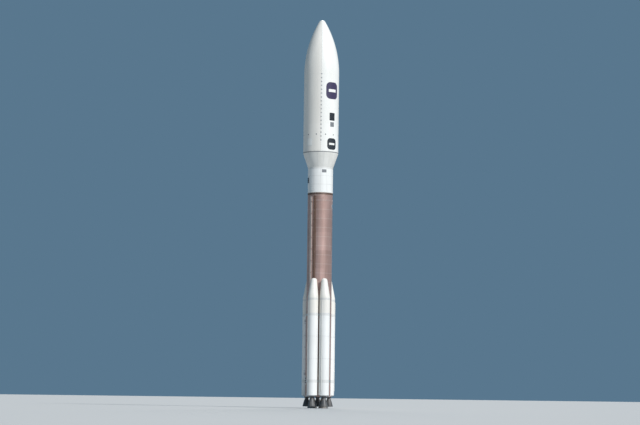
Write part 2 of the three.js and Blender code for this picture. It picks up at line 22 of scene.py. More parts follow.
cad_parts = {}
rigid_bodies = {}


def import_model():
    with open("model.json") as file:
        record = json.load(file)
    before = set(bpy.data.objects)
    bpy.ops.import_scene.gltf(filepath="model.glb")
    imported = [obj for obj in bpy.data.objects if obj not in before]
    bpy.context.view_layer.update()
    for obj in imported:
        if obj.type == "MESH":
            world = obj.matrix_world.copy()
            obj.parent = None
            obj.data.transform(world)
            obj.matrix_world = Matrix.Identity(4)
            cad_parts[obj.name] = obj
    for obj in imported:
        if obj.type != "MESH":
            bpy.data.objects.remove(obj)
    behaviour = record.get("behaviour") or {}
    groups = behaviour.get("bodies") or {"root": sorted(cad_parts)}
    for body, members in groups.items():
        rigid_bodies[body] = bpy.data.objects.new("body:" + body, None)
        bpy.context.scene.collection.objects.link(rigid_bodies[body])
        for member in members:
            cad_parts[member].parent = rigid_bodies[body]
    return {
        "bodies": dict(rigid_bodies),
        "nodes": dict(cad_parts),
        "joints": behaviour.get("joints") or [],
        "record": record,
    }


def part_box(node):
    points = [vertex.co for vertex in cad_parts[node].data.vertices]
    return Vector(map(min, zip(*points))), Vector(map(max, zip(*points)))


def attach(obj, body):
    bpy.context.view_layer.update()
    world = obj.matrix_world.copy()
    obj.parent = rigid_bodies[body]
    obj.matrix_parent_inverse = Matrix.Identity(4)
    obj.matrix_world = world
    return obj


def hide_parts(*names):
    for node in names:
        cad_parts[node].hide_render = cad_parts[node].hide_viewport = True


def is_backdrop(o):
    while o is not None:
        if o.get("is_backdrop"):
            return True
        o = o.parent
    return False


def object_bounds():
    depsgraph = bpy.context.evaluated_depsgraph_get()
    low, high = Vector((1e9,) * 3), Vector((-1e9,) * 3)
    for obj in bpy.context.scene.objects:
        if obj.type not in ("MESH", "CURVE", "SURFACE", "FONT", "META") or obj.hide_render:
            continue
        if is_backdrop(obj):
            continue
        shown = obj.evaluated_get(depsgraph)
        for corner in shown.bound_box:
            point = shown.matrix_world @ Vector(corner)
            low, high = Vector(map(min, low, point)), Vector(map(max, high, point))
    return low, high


Color = tuple[float, float, float]
Pair = tuple[float, float]
Row = tuple[float, ...]
Point = tuple[float, float]
Profile = list[Point]
Piece = bpy.types.Object
FaceTest = Callable[[bpy.types.MeshPolygon], bool]

log = logging.getLogger("rocket")

STAGE = "stage"

# Flat sides of turned pieces.
SHELL_SIDES = 160
FINE_SIDES = 128
LINING_SIDES = 120
BOOSTER_SIDES = 72
GASKET_SIDES = 64
SMALL_SIDES = 32
HEXAGON = 6

# The core's ring frames, as in the CAD: how far they stand proud, and how tall they are.
FRAME_DEPTH = 0.006
FRAME_HEIGHT = 0.06
CHAMFER = 0.003

# How deep a part that stands on a skin is sunk into it.
SUNK = 0.004

SMOOTH_ANGLE = math.radians(19)
BEND_STEP = math.radians(3)
MERGE_DISTANCE = 1e-5
SAME_RADIUS = 1e-9


class Signal:
    """A shader socket that takes part in Python expressions."""

    def __init__(self, graph: Graph, socket: bpy.types.NodeSocket) -> None:
        """Wraps a socket of a graph."""
        self.graph = graph
        self.socket = socket

    def _math(self, operation: str, *values: Any, clamp: bool = False) -> Signal:
        """Adds a Math node.

        Args:
            operation: the Math node's operation.
            values: its inputs, numbers or signals.
            clamp: whether its result is clamped to 0..1.

        Returns:
            The node's result.
        """
        inputs = dict(enumerate(values))
        node = self.graph.node("ShaderNodeMath", {"operation": operation, "use_clamp": clamp}, inputs)
        return Signal(self.graph, node.outputs[0])

    def __add__(self, other: Any) -> Signal:
        """Sum."""
        return self._math("ADD", self, other)

    __radd__ = __add__

    def __sub__(self, other: Any) -> Signal:
        """Difference."""
        return self._math("SUBTRACT", self, other)

    def __rsub__(self, other: Any) -> Signal:
        """Difference from a number."""
        return self._math("SUBTRACT", other, self)

    def __mul__(self, other: Any) -> Signal:
        """Product."""
        return self._math("MULTIPLY", self, other)

    __rmul__ = __mul__

    def __truediv__(self, other: Any) -> Signal:
        """Quotient."""
        return self._math("DIVIDE", self, other)

    def fract(self) -> Signal:
        """Fractional part."""
        return self._math("FRACT", self)

    def floored(self) -> Signal:
        """The whole number below."""
        return self._math("FLOOR", self)

    def absolute(self) -> Signal:
        """Absolute value."""
        return self._math("ABSOLUTE", self)

    def angle_from(self, other: Signal) -> Signal:
        """The angle of the point (other, self) about the origin, in radians."""
        return self._math("ARCTAN2", self, other)

    def clamped(self) -> Signal:
        """The value held between 0 and 1."""
        return self._math("ADD", self, 0.0, clamp=True)

    def above(self, edge: float, soft: float) -> Signal:
        """A mask that rises from 0 to 1 about an edge, over a soft width."""
        return self._math("MULTIPLY_ADD", self, 1.0 / soft, 0.5 - edge / soft, clamp=True)

    def near(self, value: float, half: float, soft: float) -> Signal:
        """A mask that is 1 within half of a value, with soft edges."""
        return 1.0 - (self - value).absolute().above(half, soft)

    def lines(self, spacing: float, width: float) -> Signal:
        """A mask that is 1 on evenly spaced lines of a width across this coordinate."""
        offset = ((self / spacing).fract() - 0.5).absolute()
        return 1.0 - offset.above(width / spacing / 2, width / spacing / 2)


class Graph:
    """A material's node tree, with short ways to add the nodes that the finishes use."""

    def __init__(self, name: str) -> None:
        """Starts a material with a lone Principled shader.

        Args:
            name: the material's name.
        """
        self.material = bpy.data.materials.new(name)
        self.material.use_nodes = True
        self.tree = self.material.node_tree
        self.tree.nodes.clear()
        self.shader = self.tree.nodes.new("ShaderNodeBsdfPrincipled")
        output = self.tree.nodes.new("ShaderNodeOutputMaterial")
        self.tree.links.new(self.shader.outputs["BSDF"], output.inputs["Surface"])

    def node(self, kind: str, settings: dict[str, Any], inputs: dict[Any, Any]) -> bpy.types.Node:
        """Adds a node.

        Args:
            kind: the node's type.
            settings: its properties, set first.
            inputs: values or signals for its sockets, by name or index.

        Returns:
            The node.
        """
        node = self.tree.nodes.new(kind)
        for key, value in settings.items():
            setattr(node, key, value)
        for key, value in inputs.items():
            self.feed(node.inputs[key], value)
        return node

    def feed(self, socket: bpy.types.NodeSocket, value: Any) -> None:
        """Links a signal to a socket, or sets a plain value on it.

        Args:
            socket: the socket.
            value: a signal, a number, or a vector or colour of three numbers.
        """
        if isinstance(value, Signal):
            self.tree.links.new(value.socket, socket)
        elif isinstance(value, (tuple, list)) and len(value) == 3 and len(socket.default_value) == 4:
            socket.default_value = (*value, 1.0)
        else:
            socket.default_value = value

    def place(self) -> Signal:
        """Object coordinates."""
        return Signal(self, self.node("ShaderNodeTexCoord", {}, {}).outputs["Object"])

    def axes(self) -> tuple[Signal, Signal, Signal]:
        """Object coordinates, one signal for each axis."""
        parts = self.node("ShaderNodeSeparateXYZ", {}, {0: self.place()})
        return tuple(Signal(self, parts.outputs[i]) for i in range(3))

    def turns(self) -> Signal:
        """The azimuth about the vehicle's axis, in whole turns from -0.5 to 0.5."""
        x, y, _ = self.axes()
        return y.angle_from(x) * (1.0 / math.tau)

    def cells(self, *steps: Signal) -> Signal:
        """A random value from 0 to 1 for each cell of a grid.

        Args:
            steps: up to three coordinates that grow by 1 from cell to cell.

        Returns:
            The value.
        """
        parts = dict(enumerate(step.floored() for step in steps))
        corner = self.node("ShaderNodeCombineXYZ", {}, parts)
        node = self.node("ShaderNodeTexWhiteNoise", {}, {"Vector": Signal(self, corner.outputs[0])})
        return Signal(self, node.outputs["Value"])

    def noise(
        self, scale: float, stretch: Color = (1, 1, 1), detail: float = 3, roughness: float = 0.55
    ) -> Signal:
        """Noise on Object coordinates.

        Args:
            scale: cells for each metre.
            stretch: a factor on the coordinates for each axis.
            detail: octaves.
            roughness: weight of the finer octaves.

        Returns:
            The noise, about 0.5 on average.
        """
        mapping = self.node("ShaderNodeMapping", {}, {"Vector": self.place(), "Scale": stretch})
        inputs = {
            "Vector": Signal(self, mapping.outputs[0]),
            "Scale": scale,
            "Detail": detail,
            "Roughness": roughness,
        }
        return Signal(self, self.node("ShaderNodeTexNoise", {}, inputs).outputs["Fac"])

    def mix(self, factor: Any, first: Any, second: Any) -> Signal:
        """Mixes two colours, from the first at factor 0 to the second at 1."""
        node = self.node("ShaderNodeMix", {"data_type": "RGBA"}, {0: factor, 6: first, 7: second})
        return Signal(self, node.outputs[2])

    def bump(self, height: Signal, strength: float, distance: float) -> Signal:
        """A normal bent by a height."""
        inputs = {"Height": height, "Strength": strength, "Distance": distance}
        return Signal(self, self.node("ShaderNodeBump", {}, inputs).outputs["Normal"])

    def shade(self, **inputs: Any) -> None:
        """Feeds the Principled shader's sockets, with _ for a space in a socket's name."""
        for name, value in inputs.items():
            self.feed(self.shader.inputs[name.replace("_", " ")], value)


class Finish:
    """A way to shade a surface. Each kind feeds the shader of a new graph."""

    def material(self, name: str) -> bpy.types.Material:
        """Builds the finish's material.

        Args:
            name: the material's name.

        Returns:
            The material.
        """
        graph = Graph(name)
        self.fill(graph)
        return graph.material

    def fill(self, g: Graph) -> None:
        """Adds the finish's nodes to an empty graph."""
        raise NotImplementedError


@dataclass(frozen=True)
class Paint(Finish):
    """Satin paint on a metal or composite skin: faint runs, dirt, and panels of slightly uneven tone."""

    color: Color
    stain: Color
    roughness: float = 0.42
    stain_amount: float = 0.35
    panels: int = 8
    panel_height: float = 1.3
    panel_tone: float = 0.12
    coat: float = 0.0

    def fill(self, g: Graph) -> None:
        """Mixes stains and panel tones into the paint.

        Args:
            g: the graph.
        """
        _, _, z = g.axes()
        runs = g.noise(2.6, (1, 1, 0.1), 5)
        cloud = g.noise(0.8, (1, 1, 0.6), 4)
        dirt = (runs.above(0.56, 0.3) * 0.6 + cloud.above(0.55, 0.4) * 0.5) * self.stain_amount
        uneven = g.cells(g.turns() * self.panels + 0.25, z / self.panel_height) * self.panel_tone
        color = g.mix((dirt + uneven).clamped(), self.color, self.stain)
        orange_peel = g.noise(46, detail=2) * 0.3 + g.noise(7, (1, 1, 0.5), 3) * 0.6
        g.shade(
            Base_Color=color,
            Roughness=self.roughness + (cloud - 0.5) * 0.25 + dirt * 0.2,
            Coat_Weight=self.coat,
            Coat_Roughness=0.12,
            Normal=g.bump(orange_peel, 0.22, 0.006),
        )


@dataclass(frozen=True)
class CopperCoat(Finish):
    """The bronze-coloured coating of the core's skins: satin, streaked down, uneven from barrel to barrel."""

    light: Color = (0.70, 0.47, 0.415)
    dark: Color = (0.30, 0.185, 0.15)
    weld: Color = (0.68, 0.50, 0.45)
    weld_spacing: float = 1.39
    seams: int = 8
    metallic: float = 0.65
    roughness: float = 0.34

    def fill(self, g: Graph) -> None:
        """Mixes streaks, patches and weld lines into the coating.

        Args:
            g: the graph.
        """
        _, _, z = g.axes()
        streaks = g.noise(3.4, (1, 1, 0.05), 6, 0.62)
        patches = g.noise(0.7, (1, 1, 0.8), 3)
        barrels = g.cells(g.turns() * self.seams + 0.5, z / self.weld_spacing)
        tone = streaks * 0.5 + patches * 0.35 + barrels * 0.16
        color = g.mix(tone.above(0.5, 0.55), self.dark, self.light)
        seams = g.turns().lines(1.0 / self.seams, 0.0035)
        handling = g.noise(9, (1, 1, 0.7), 5).above(0.66, 0.1) * 0.3
        color = g.mix((seams * 0.5 + handling).clamped(), color, self.weld)
        g.shade(
            Base_Color=color,
            Roughness=self.roughness + streaks * 0.16 + seams * 0.1,
            Metallic=self.metallic,
            Normal=g.bump(g.noise(22, detail=2) * 0.35 + seams * 0.8, 0.3, 0.004),
        )


@dataclass(frozen=True)
class Metal(Finish):
    """Bare or dark machined metal, with a turned grain and duller worn places."""

    color: Color
    roughness: float = 0.35
    metallic: float = 0.9

    def fill(self, g: Graph) -> None:
        """Mixes worn places into the metal, with a turned grain.

        Args:
            g: the graph.
        """
        grain = g.noise(14, (1, 1, 5), 5)
        worn = g.noise(3, detail=4).above(0.55, 0.3)
        dull = tuple(channel * 0.66 for channel in self.color)
        g.shade(
            Base_Color=g.mix(worn, self.color, dull),
            Roughness=self.roughness + (grain - 0.5) * 0.3,
            Metallic=self.metallic,
            Normal=g.bump(grain, 0.2, 0.002),
        )


@dataclass(frozen=True)
class HeatTintedBell(Finish):
    """A nozzle's brazed tubes: fine ribs down the bell, straw and blue tints below the throat."""

    base: Color = (0.50, 0.47, 0.44)
    straw: Color = (0.46, 0.33, 0.20)
    blue: Color = (0.22, 0.24, 0.33)
    scorch: Color = (0.09, 0.08, 0.075)
    spacing: float = 0.4225
    tubes: int = 90
    throat: float = 0.1
    exit: float = -0.85

    def fill(self, g: Graph) -> None:
        """Winds tubes round each bell. Both stand at the same distance from the X = 0 plane.

        Args:
            g: the graph.
        """
        x, y, z = g.axes()
        around = y.angle_from(x.absolute() - self.spacing) * (1 / math.tau)
        ribs = around.lines(1 / self.tubes, 0.4 / self.tubes)
        share = (self.throat - z) / (self.throat - self.exit)
        wander = (g.noise(5, detail=4) - 0.5) * 0.3
        tint = g.mix((share + wander).near(0.32, 0.16, 0.2) * 0.7, self.base, self.straw)
        tint = g.mix((share + wander).near(0.62, 0.1, 0.25) * 0.45, tint, self.blue)
        scorched = (share + wander).above(0.93, 0.2) * 0.7
        color = g.mix((scorched + ribs * 0.35).clamped(), tint, self.scorch)
        g.shade(
            Base_Color=color,
            Roughness=0.3 + g.noise(9, detail=4) * 0.2 + scorched * 0.25,
            Metallic=0.85,
            Normal=g.bump(ribs, 0.5, 0.003),
        )


@dataclass(frozen=True)
class Blanket(Finish):
    """Woven thermal blanket, quilted in squares."""

    color: Color
    shade_color: Color
    quilt: float = 0.16
    soot: float = 0.5

    def fill(self, g: Graph) -> None:
        """Lays stitches, weave and soot over the cloth.

        Args:
            g: the graph.
        """
        axes = g.axes()
        stitch = sum((axis.lines(self.quilt, 0.014) for axis in axes[1:]), axes[0].lines(self.quilt, 0.014))
        stitch = stitch.clamped()
        weave = g.noise(150, detail=1)
        soot = g.noise(2.6, detail=5).above(0.5, 0.4) * self.soot
        g.shade(
            Base_Color=g.mix((soot + stitch * 0.45).clamped(), self.color, self.shade_color),
            Roughness=0.85,
            Sheen_Weight=0.2,
            Normal=g.bump(weave * 0.2 - stitch, 0.6, 0.01),
        )


@dataclass(frozen=True)
class SprayFoam(Finish):
    """Sprayed insulation that has yellowed, lumpy under a trimmed surface."""

    fresh: Color = (0.80, 0.70, 0.46)
    aged: Color = (0.66, 0.47, 0.22)

    def fill(self, g: Graph) -> None:
        """Ages the foam in patches, and marks where one pour ends.

        Args:
            g: the graph.
        """
        _, _, z = g.axes()
        lumps = g.noise(26, detail=4)
        age = g.noise(1.6, (1, 1, 0.7), 4).above(0.5, 0.45)
        pour = z.lines(0.46, 0.02)
        color = g.mix((age * 0.75 + pour * 0.3).clamped(), self.fresh, self.aged)
        g.shade(Base_Color=color, Roughness=0.92, Normal=g.bump(lumps - pour * 0.6, 0.55, 0.01))


@dataclass(frozen=True)
class Charred(Finish):
    """Soot or carbon cloth: near black, with a faint winding that catches the light."""

    color: Color = (0.045, 0.043, 0.042)
    dusty: Color = (0.13, 0.12, 0.11)
    roughness: float = 0.6
    winding: float = 0.03

    def fill(self, g: Graph) -> None:
        """Lays dust and the laps of the winding over the black.

        Args:
            g: the graph.
        """
        _, _, z = g.axes()
        dust = g.noise(6, (1, 1, 0.5), 5).above(0.52, 0.35)
        laps = z.lines(self.winding, self.winding * 0.3)
        g.shade(
            Base_Color=g.mix(dust * 0.8, self.color, self.dusty),
            Roughness=self.roughness + (dust - 0.5) * 0.2,
            Normal=g.bump(laps + g.noise(90, detail=1) * 0.4, 0.35, 0.003),
        )


class Look(Enum):
    """A finish: its material's name, the record's slot that it belongs to, and how it is shaded."""

    def __init__(self, material: str, slot: str, finish: Finish) -> None:
        """Keeps the three parts of its value under their names."""
        self.material, self.slot, self.finish = material, slot, finish

    COPPER = "copper_skin", "copper_skin", CopperCoat()
    COPPER_RING = "copper_ring", "copper_skin", CopperCoat(
        (0.72, 0.535, 0.48), (0.4, 0.28, 0.24), roughness=0.32
    )
    COPPER_DARK = "copper_dark", "copper_skin", CopperCoat(
        (0.28, 0.16, 0.11), (0.16, 0.09, 0.06), roughness=0.5
    )
    WHITE = "white_paint", "white_paint", Paint((0.84, 0.84, 0.82), (0.52, 0.51, 0.47), panel_tone=0.05)
    WHITE_RING = "white_ring", "white_paint", Paint((0.73, 0.73, 0.71), (0.5, 0.49, 0.45), 0.5, 0.5)
    IVORY = "ivory_paint", "white_paint", Paint((0.84, 0.81, 0.75), (0.54, 0.52, 0.46))
    FAIRING = "fairing_white", "fairing_white", Paint(
        (0.86, 0.85, 0.81), (0.6, 0.58, 0.53), 0.36, 0.32, 6, 2.6, 0.08, coat=0.15
    )
    # A darker, warmer copy of the fairing white for the left half, away from the key light: partly a tone
    # step between the halves at the seam, partly painted shade.
    FAIRING_CREAM = "fairing_cream", "fairing_white", Paint(
        (0.8, 0.767, 0.71), (0.56, 0.54, 0.49), 0.4, 0.36, 6, 2.6, 0.1, coat=0.1
    )
    RACEWAY = "raceway_paint", "cream_paint", Paint((0.5, 0.42, 0.385), (0.3, 0.245, 0.22), 0.5, 0.4)
    SEAL = "seal_grey", "fairing_white", Paint((0.38, 0.385, 0.39), (0.25, 0.25, 0.25), 0.5, 0.5)
    CREAM = "cream_paint", "cream_paint", Paint((0.76, 0.75, 0.71), (0.5, 0.48, 0.43), 0.5, 0.4)
    GREY = "grey_paint", "cream_paint", Paint((0.2, 0.21, 0.22), (0.12, 0.12, 0.12), 0.5, 0.5)
    NAVY = "navy_paint", "fairing_white", Paint((0.045, 0.035, 0.085), (0.09, 0.08, 0.13), 0.4, 0.3)
    INK = "black_paint", "fairing_white", Paint((0.02, 0.024, 0.03), (0.06, 0.065, 0.07), 0.4, 0.3)
    FOAM = "foam", "foam", SprayFoam()
    BARE = "bare_metal", "bare_metal", Metal((0.62, 0.62, 0.62))
    # Dark brown metal of the field joint ring: partly the ring's own bare metal, partly painted shadow under
    # the interstage's lower edge.
    JOINT = "joint_metal", "bare_metal", Metal((0.3, 0.235, 0.205), 0.4, 0.7)
    BELL = "nozzle_metal", "nozzle_metal", HeatTintedBell()
    SOOT = "soot", "nozzle_metal", Charred()
    DARK = "dark_metal", "dark_metal", Metal((0.1, 0.1, 0.11), 0.45)
    BLANKET = "blanket", "blanket", Blanket((0.62, 0.6, 0.55), (0.3, 0.28, 0.26))
    PAD = "acoustic_pad", "blanket", Blanket((0.8, 0.79, 0.75), (0.52, 0.5, 0.46), 0.3, 0.2)
    CARBON = "carbon", "carbon", Charred((0.06, 0.06, 0.065), (0.15, 0.145, 0.135), 0.5)


def make_looks() -> dict[Look, bpy.types.Material]:
    """Builds the material of every finish once."""
    return {look: look.finish.material(look.material) for look in Look}


def about_axis(azimuth: float) -> Matrix:
    """A turn about Z from the front to an azimuth."""
    return Matrix.Rotation(math.radians(azimuth), 4, "Z")


def turns(azimuths: Iterable[float]) -> list[Matrix]:
    """A turn about Z to each azimuth."""
    return [about_axis(azimuth) for azimuth in azimuths]


def even_turns(count: int, first: float = 0.0) -> list[Matrix]:
    """Turns all round the axis in equal steps, from a first azimuth."""
    return turns(first + 360 * i / count for i in range(count))


def raised(height: float) -> Matrix:
    """A move up."""
    return Matrix.Translation((0, 0, height))


def sideways(x: float, height: float = 0.0) -> Matrix:
    """A move along X, and up."""
    return Matrix.Translation((x, 0, height))


def outwards(depth: float, height: float = 0.0) -> Matrix:
    """A move away from the axis towards the front, and up."""
    return Matrix.Translation((0, -depth, height))


def stack(first: float, step: float, count: int) -> list[Matrix]:
    """Moves up to equally spaced heights."""
    return [raised(first + step * i) for i in range(count)]


def slope(foot: Point, head: Point) -> tuple[float, Matrix]:
    """The length of a cone's side, and the move that lays a piece that stands on the origin onto it."""
    run, rise = head[0] - foot[0], head[1] - foot[1]
    return math.hypot(run, rise), outwards(*foot) @ Matrix.Rotation(math.atan2(run, rise), 4, "X")


def disc(radius: float, low: float, high: float) -> Profile:
    """The profile of a solid disc."""
    return [(0, low), (radius, low), (radius, high), (0, high)]


def hoop(inner: float, outer: float, low: float, high: float) -> Profile:
    """The closed profile of a square-edged ring."""
    return [(inner, low), (outer, low), (outer, high), (inner, high), (inner, low)]


def band(low: float, high: float, skin: float, depth: float, chamfer: float = CHAMFER) -> Profile:
    """A band that stands proud of a skin, from low to high, with chamfered edges."""
    edge = skin + depth
    return [(skin, low), (edge, low + chamfer), (edge, high - chamfer), (skin, high)]


def bands(
    middles: Iterable[float], half: float, skin: float, depth: float, chamfer: float = CHAMFER
) -> Profile:
    """Bands of one height that stand proud of a skin, each about its middle."""
    return [point for middle in middles for point in band(middle - half, middle + half, skin, depth, chamfer)]


def outside(radius: float) -> FaceTest:
    """A test that passes faces whose middle lies outside a radius from the axis."""
    return lambda face: face.center.xy.length > radius


def above(height: float) -> FaceTest:
    """A test that passes faces whose middle lies above a height."""
    return lambda face: face.center.z > height


def faces_axis() -> FaceTest:
    """A test that passes faces that look towards the axis."""
    return lambda face: face.normal.xy.dot(face.center.xy) < -1e-6


def upright(height: float) -> float:
    """The lean of an axis that stands straight, at any height."""
    return 0.0


def heights_of(node: str) -> Pair:
    """The lowest and the highest height of a CAD node."""
    low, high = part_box(node)
    return low.z, high.z


@dataclass(frozen=True)
class Span:
    """The lowest and highest height and the radius of a turned CAD node."""

    low: float
    high: float
    radius: float

    @classmethod
    def of(cls, node: str) -> Span:
        """Reads a node's box."""
        low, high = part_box(node)
        return cls(low.z, high.z, max((high.x - low.x) / 2, (high.y - low.y) / 2))

    @property
    def skin(self) -> float:
        """The radius of the skin between its ring frames."""
        return self.radius - FRAME_DEPTH

    @property
    def frames(self) -> list[float]:
        """The middles of the ring frames at its two ends."""
        return [self.low + FRAME_HEIGHT / 2, self.high - FRAME_HEIGHT / 2]

    def at(self, share: float) -> float:
        """A height between the lowest and the highest."""
        return self.low + (self.high - self.low) * share

    def framed(
        self, middle: Profile = (), depth: float = FRAME_DEPTH, height: float = FRAME_HEIGHT
    ) -> Profile:
        """The profile of a closed skin with a ring frame at each end.

        Args:
            middle: what the profile does between the frames.
            depth: how far a frame stands proud.
            height: a frame's height.

        Returns:
            The profile.
        """
        skin = self.radius - depth
        return [
            (0, self.low),
            *band(self.low, self.low + height, skin, depth),
            *middle,
            *band(self.high - height, self.high, skin, depth),
            (0, self.high),
        ]


class Bench:
    """Models one piece at a time with Blender's operators."""

    def clear(self) -> None:
        """Leaves edit mode and deselects every object."""
        if bpy.context.object and bpy.context.object.mode != "OBJECT":
            bpy.ops.object.mode_set(mode="OBJECT")
        bpy.ops.object.select_all(action="DESELECT")

    def made(self) -> Piece:
        """The primitive that was just added, with its place put into its mesh."""
        bpy.ops.object.transform_apply(location=True, rotation=True, scale=True)
        return bpy.context.object

    def activate(self, piece: Piece) -> None:
        """Makes a piece the only selected object.

        Args:
            piece: the piece.
        """
        self.clear()
        piece.select_set(True)
        bpy.context.view_layer.objects.active = piece

    def edit_all(self, piece: Piece) -> None:
        """Opens a piece in edit mode with all of it selected.

        Args:
            piece: the piece.
        """
        self.activate(piece)
        bpy.ops.object.mode_set(mode="EDIT")
        bpy.ops.mesh.select_all(action="SELECT")

    def settle(self) -> None:
        """Merges doubles, turns all faces outwards and leaves edit mode."""
        bpy.ops.mesh.select_all(action="SELECT")
        bpy.ops.mesh.remove_doubles(threshold=MERGE_DISTANCE)
        bpy.ops.mesh.normals_make_consistent(inside=False)
        bpy.ops.object.mode_set(mode="OBJECT")

    def turned(
        self, profile: Profile, sides: int = FINE_SIDES, lean: Callable[[float], float] = upright
    ) -> Piece:
        """Turns a profile about the Z axis by extruding a ring up it.

        Args:
            profile: points of (radius, height); a first or last radius of 0 closes that end.
            sides: flat sides round the axis.
            lean: how far the axis stands off along Y at a height.

        Returns:
            The piece.
        """
        self.clear()
        closed_start = profile[0][0] == 0
        ring = profile[1:] if closed_start else profile
        radius, height = ring[0]
        bpy.ops.mesh.primitive_circle_add(
            vertices=sides,
            radius=radius,
            fill_type="TRIFAN" if closed_start else "NOTHING",
            location=(0, lean(height), height),
        )
        piece = self.made()
        bpy.ops.object.mode_set(mode="EDIT")
        bpy.ops.mesh.select_mode(type="EDGE")
        bpy.ops.mesh.select_all(action="SELECT")
        if closed_start:
            self._select_rim(piece, profile[0][1])
        for next_radius, next_height in ring[1:]:
            shift = lean(next_height)
            rise = (0, shift - lean(height), next_height - height)
            bpy.ops.mesh.extrude_region_move(TRANSFORM_OT_translate={"value": rise})
            if next_radius == 0:
                bpy.ops.mesh.merge(type="CENTER")
            elif abs(next_radius - radius) > SAME_RADIUS:
                factor = next_radius / radius
                middle = (0, shift, next_height)
                bpy.ops.transform.resize(value=(factor, factor, 1), center_override=middle)
            radius, height = next_radius, next_height
        self.settle()
        return piece

    def _select_rim(self, piece: Piece, center_height: float) -> None:
        """Selects the rim alone of a disc that is open in edit mode, and places its middle.

        Args:
            piece: the disc.
            center_height: the height of its middle.
        """
        mesh = bmesh.from_edit_mesh(piece.data)
        for face in mesh.faces:
            face.select_set(False)
        for vertex in mesh.verts:
            if not vertex.is_boundary:
                vertex.co.z = center_height
        for edge in mesh.edges:
            edge.select_set(edge.is_boundary)
        bmesh.update_edit_mesh(piece.data)

    def block(
        self, half: float, depths: Pair, heights: Pair, bevel: float, taper: float = 0.0, x: float = 0.0
    ) -> Piece:
        """A box with bevelled edges, at the front.

        Args:
            half: half its width.
            depths: how far its back and its face lie from the axis.
            heights: its foot and its top.
            bevel: the bevel's width.
            taper: how far both ends of its face draw in along Z.
            x: its middle along X.

        Returns:
            The piece.
        """
        self.clear()
        low, high = (x - half, -depths[1], heights[0]), (x + half, -depths[0], heights[1])
        center = [(a + b) / 2 for a, b in zip(low, high)]
        size = [b - a for a, b in zip(low, high)]
        bpy.ops.mesh.primitive_cube_add(size=1, location=center, scale=size)
        piece = self.made()
        for vertex in piece.data.vertices:
            if vertex.co.y < center[1]:
                vertex.co.z += -taper if vertex.co.z > center[2] else taper
        self.edit_all(piece)
        bpy.ops.mesh.bevel(offset=bevel, segments=2, affect="EDGES")
        bpy.ops.object.mode_set(mode="OBJECT")
        return piece

    def plate(self, width: float, height: float, depth: float, corner: float) -> Piece:
        """A plate in the XZ plane with rounded corners, its back on Y = 0 and its face towards -Y.

        Args:
            width: its size along X.
            height: its size along Z.
            depth: its thickness.
            corner: the radius of its corners; half its width makes it round.

        Returns:
            The piece.
        """
        self.clear()
        bpy.ops.mesh.primitive_plane_add(size=1, rotation=(math.pi / 2, 0, 0))
        piece = self.made()
        self.edit_all(piece)
        bpy.ops.transform.resize(value=(width, 1, height))
        bpy.ops.mesh.bevel(offset=corner * 0.999, segments=6, affect="VERTICES")
        bpy.ops.object.mode_set(mode="OBJECT")
        self.modified(piece, "SOLIDIFY", thickness=depth, offset=1)
        return self.modified(piece, "BEVEL", width=depth * 0.3, segments=2, limit_method="ANGLE")

    def rod(self, start: Sequence[float], end: Sequence[float], radius: float) -> Piece:
        """A round bar with bevelled ends.

        Args:
            start: the middle of one end.
            end: the middle of the other end.
            radius: its radius.

        Returns:
            The piece.
        """
        self.clear()
        run = Vector(end) - Vector(start)
        bpy.ops.mesh.primitive_cylinder_add(
            vertices=SMALL_SIDES,
            radius=radius,
            depth=run.length,
            location=Vector(start) + run / 2,
            rotation=run.to_track_quat("Z", "Y").to_euler(),
        )
        return self.modified(self.made(), "BEVEL", width=radius * 0.2, segments=2, limit_method="ANGLE")

    def head(self, size: float, length: float, depth: float) -> Piece:
        """A hexagon head that points to the front.

        Args:
            size: its radius.
            length: its length along Y.
            depth: how far its middle lies from the axis.

        Returns:
            The piece.
        """
        self.clear()
        place = {"location": (0, -depth, 0), "rotation": (math.pi / 2, 0, 0)}
        bpy.ops.mesh.primitive_cylinder_add(vertices=HEXAGON, radius=size, depth=length, **place)
        return self.made()

    def studs(
        self, radius: float, heights: Iterable[float], count: int, size: float = 0.009, rise: float = 0.0063
    ) -> Piece:
        """Hexagon heads that rise outwards from a turned skin, a count of them round each height."""
        head = self.head(size, rise * 2, radius)
        return self.copies(head, [raised(height) @ turn for height in heights for turn in even_turns(count)])

    def copies(self, piece: Piece, places: Iterable[Matrix]) -> Piece:
        """Repeats a piece within its own mesh.

        Args:
            piece: the piece.
            places: the move for each copy; the piece stays where it was only if one of them says so.

        Returns:
            The piece.
        """
        gathered = bmesh.new()
        for place in places:
            one = piece.data.copy()
            one.transform(place)
            gathered.from_mesh(one)
            bpy.data.meshes.remove(one)
        gathered.to_mesh(piece.data)
        gathered.free()
        return piece

    def copy(self, piece: Piece, place: Matrix) -> Piece:
        """Copies a piece, with a mesh of its own.

        Args:
            piece: the piece.
            place: the copy's move.

        Returns:
            The copy.
        """
        twin = piece.copy()
        twin.data = piece.data.copy()
        twin.data.transform(place)
        bpy.context.collection.objects.link(twin)
        return twin

    def discard(self, piece: Piece) -> None:
        """Removes a piece that was only a model for copies, by way of its mesh."""
        bpy.data.meshes.remove(piece.data)

    def joined(self, pieces: Sequence[Piece]) -> Piece:
        """Joins pieces into one, with their finishes.

        Args:
            pieces: the pieces.

        Returns:
            The first of them, which now holds them all.
        """
        self.clear()
        for piece in pieces:
            piece.select_set(True)
        bpy.context.view_layer.objects.active = pieces[0]
        if len(pieces) > 1:
            bpy.ops.object.join()
        return pieces[0]

    def modified(self, piece: Piece, kind: str, **settings: Any) -> Piece:
        """Adds a modifier and applies it.

        Args:
            piece: the piece.
            kind: the modifier's type.
            settings: its properties.

        Returns:
            The piece.
        """
        self.activate(piece)
        modifier = piece.modifiers.new(kind.lower(), kind)
        for key, value in settings.items():
            setattr(modifier, key, value)
        bpy.ops.object.modifier_apply(modifier=modifier.name)
        return piece

    def moved(self, piece: Piece, place: Matrix) -> Piece:
        """Moves a piece's mesh, so that its object stays at the origin."""
        piece.data.transform(place)
        return piece

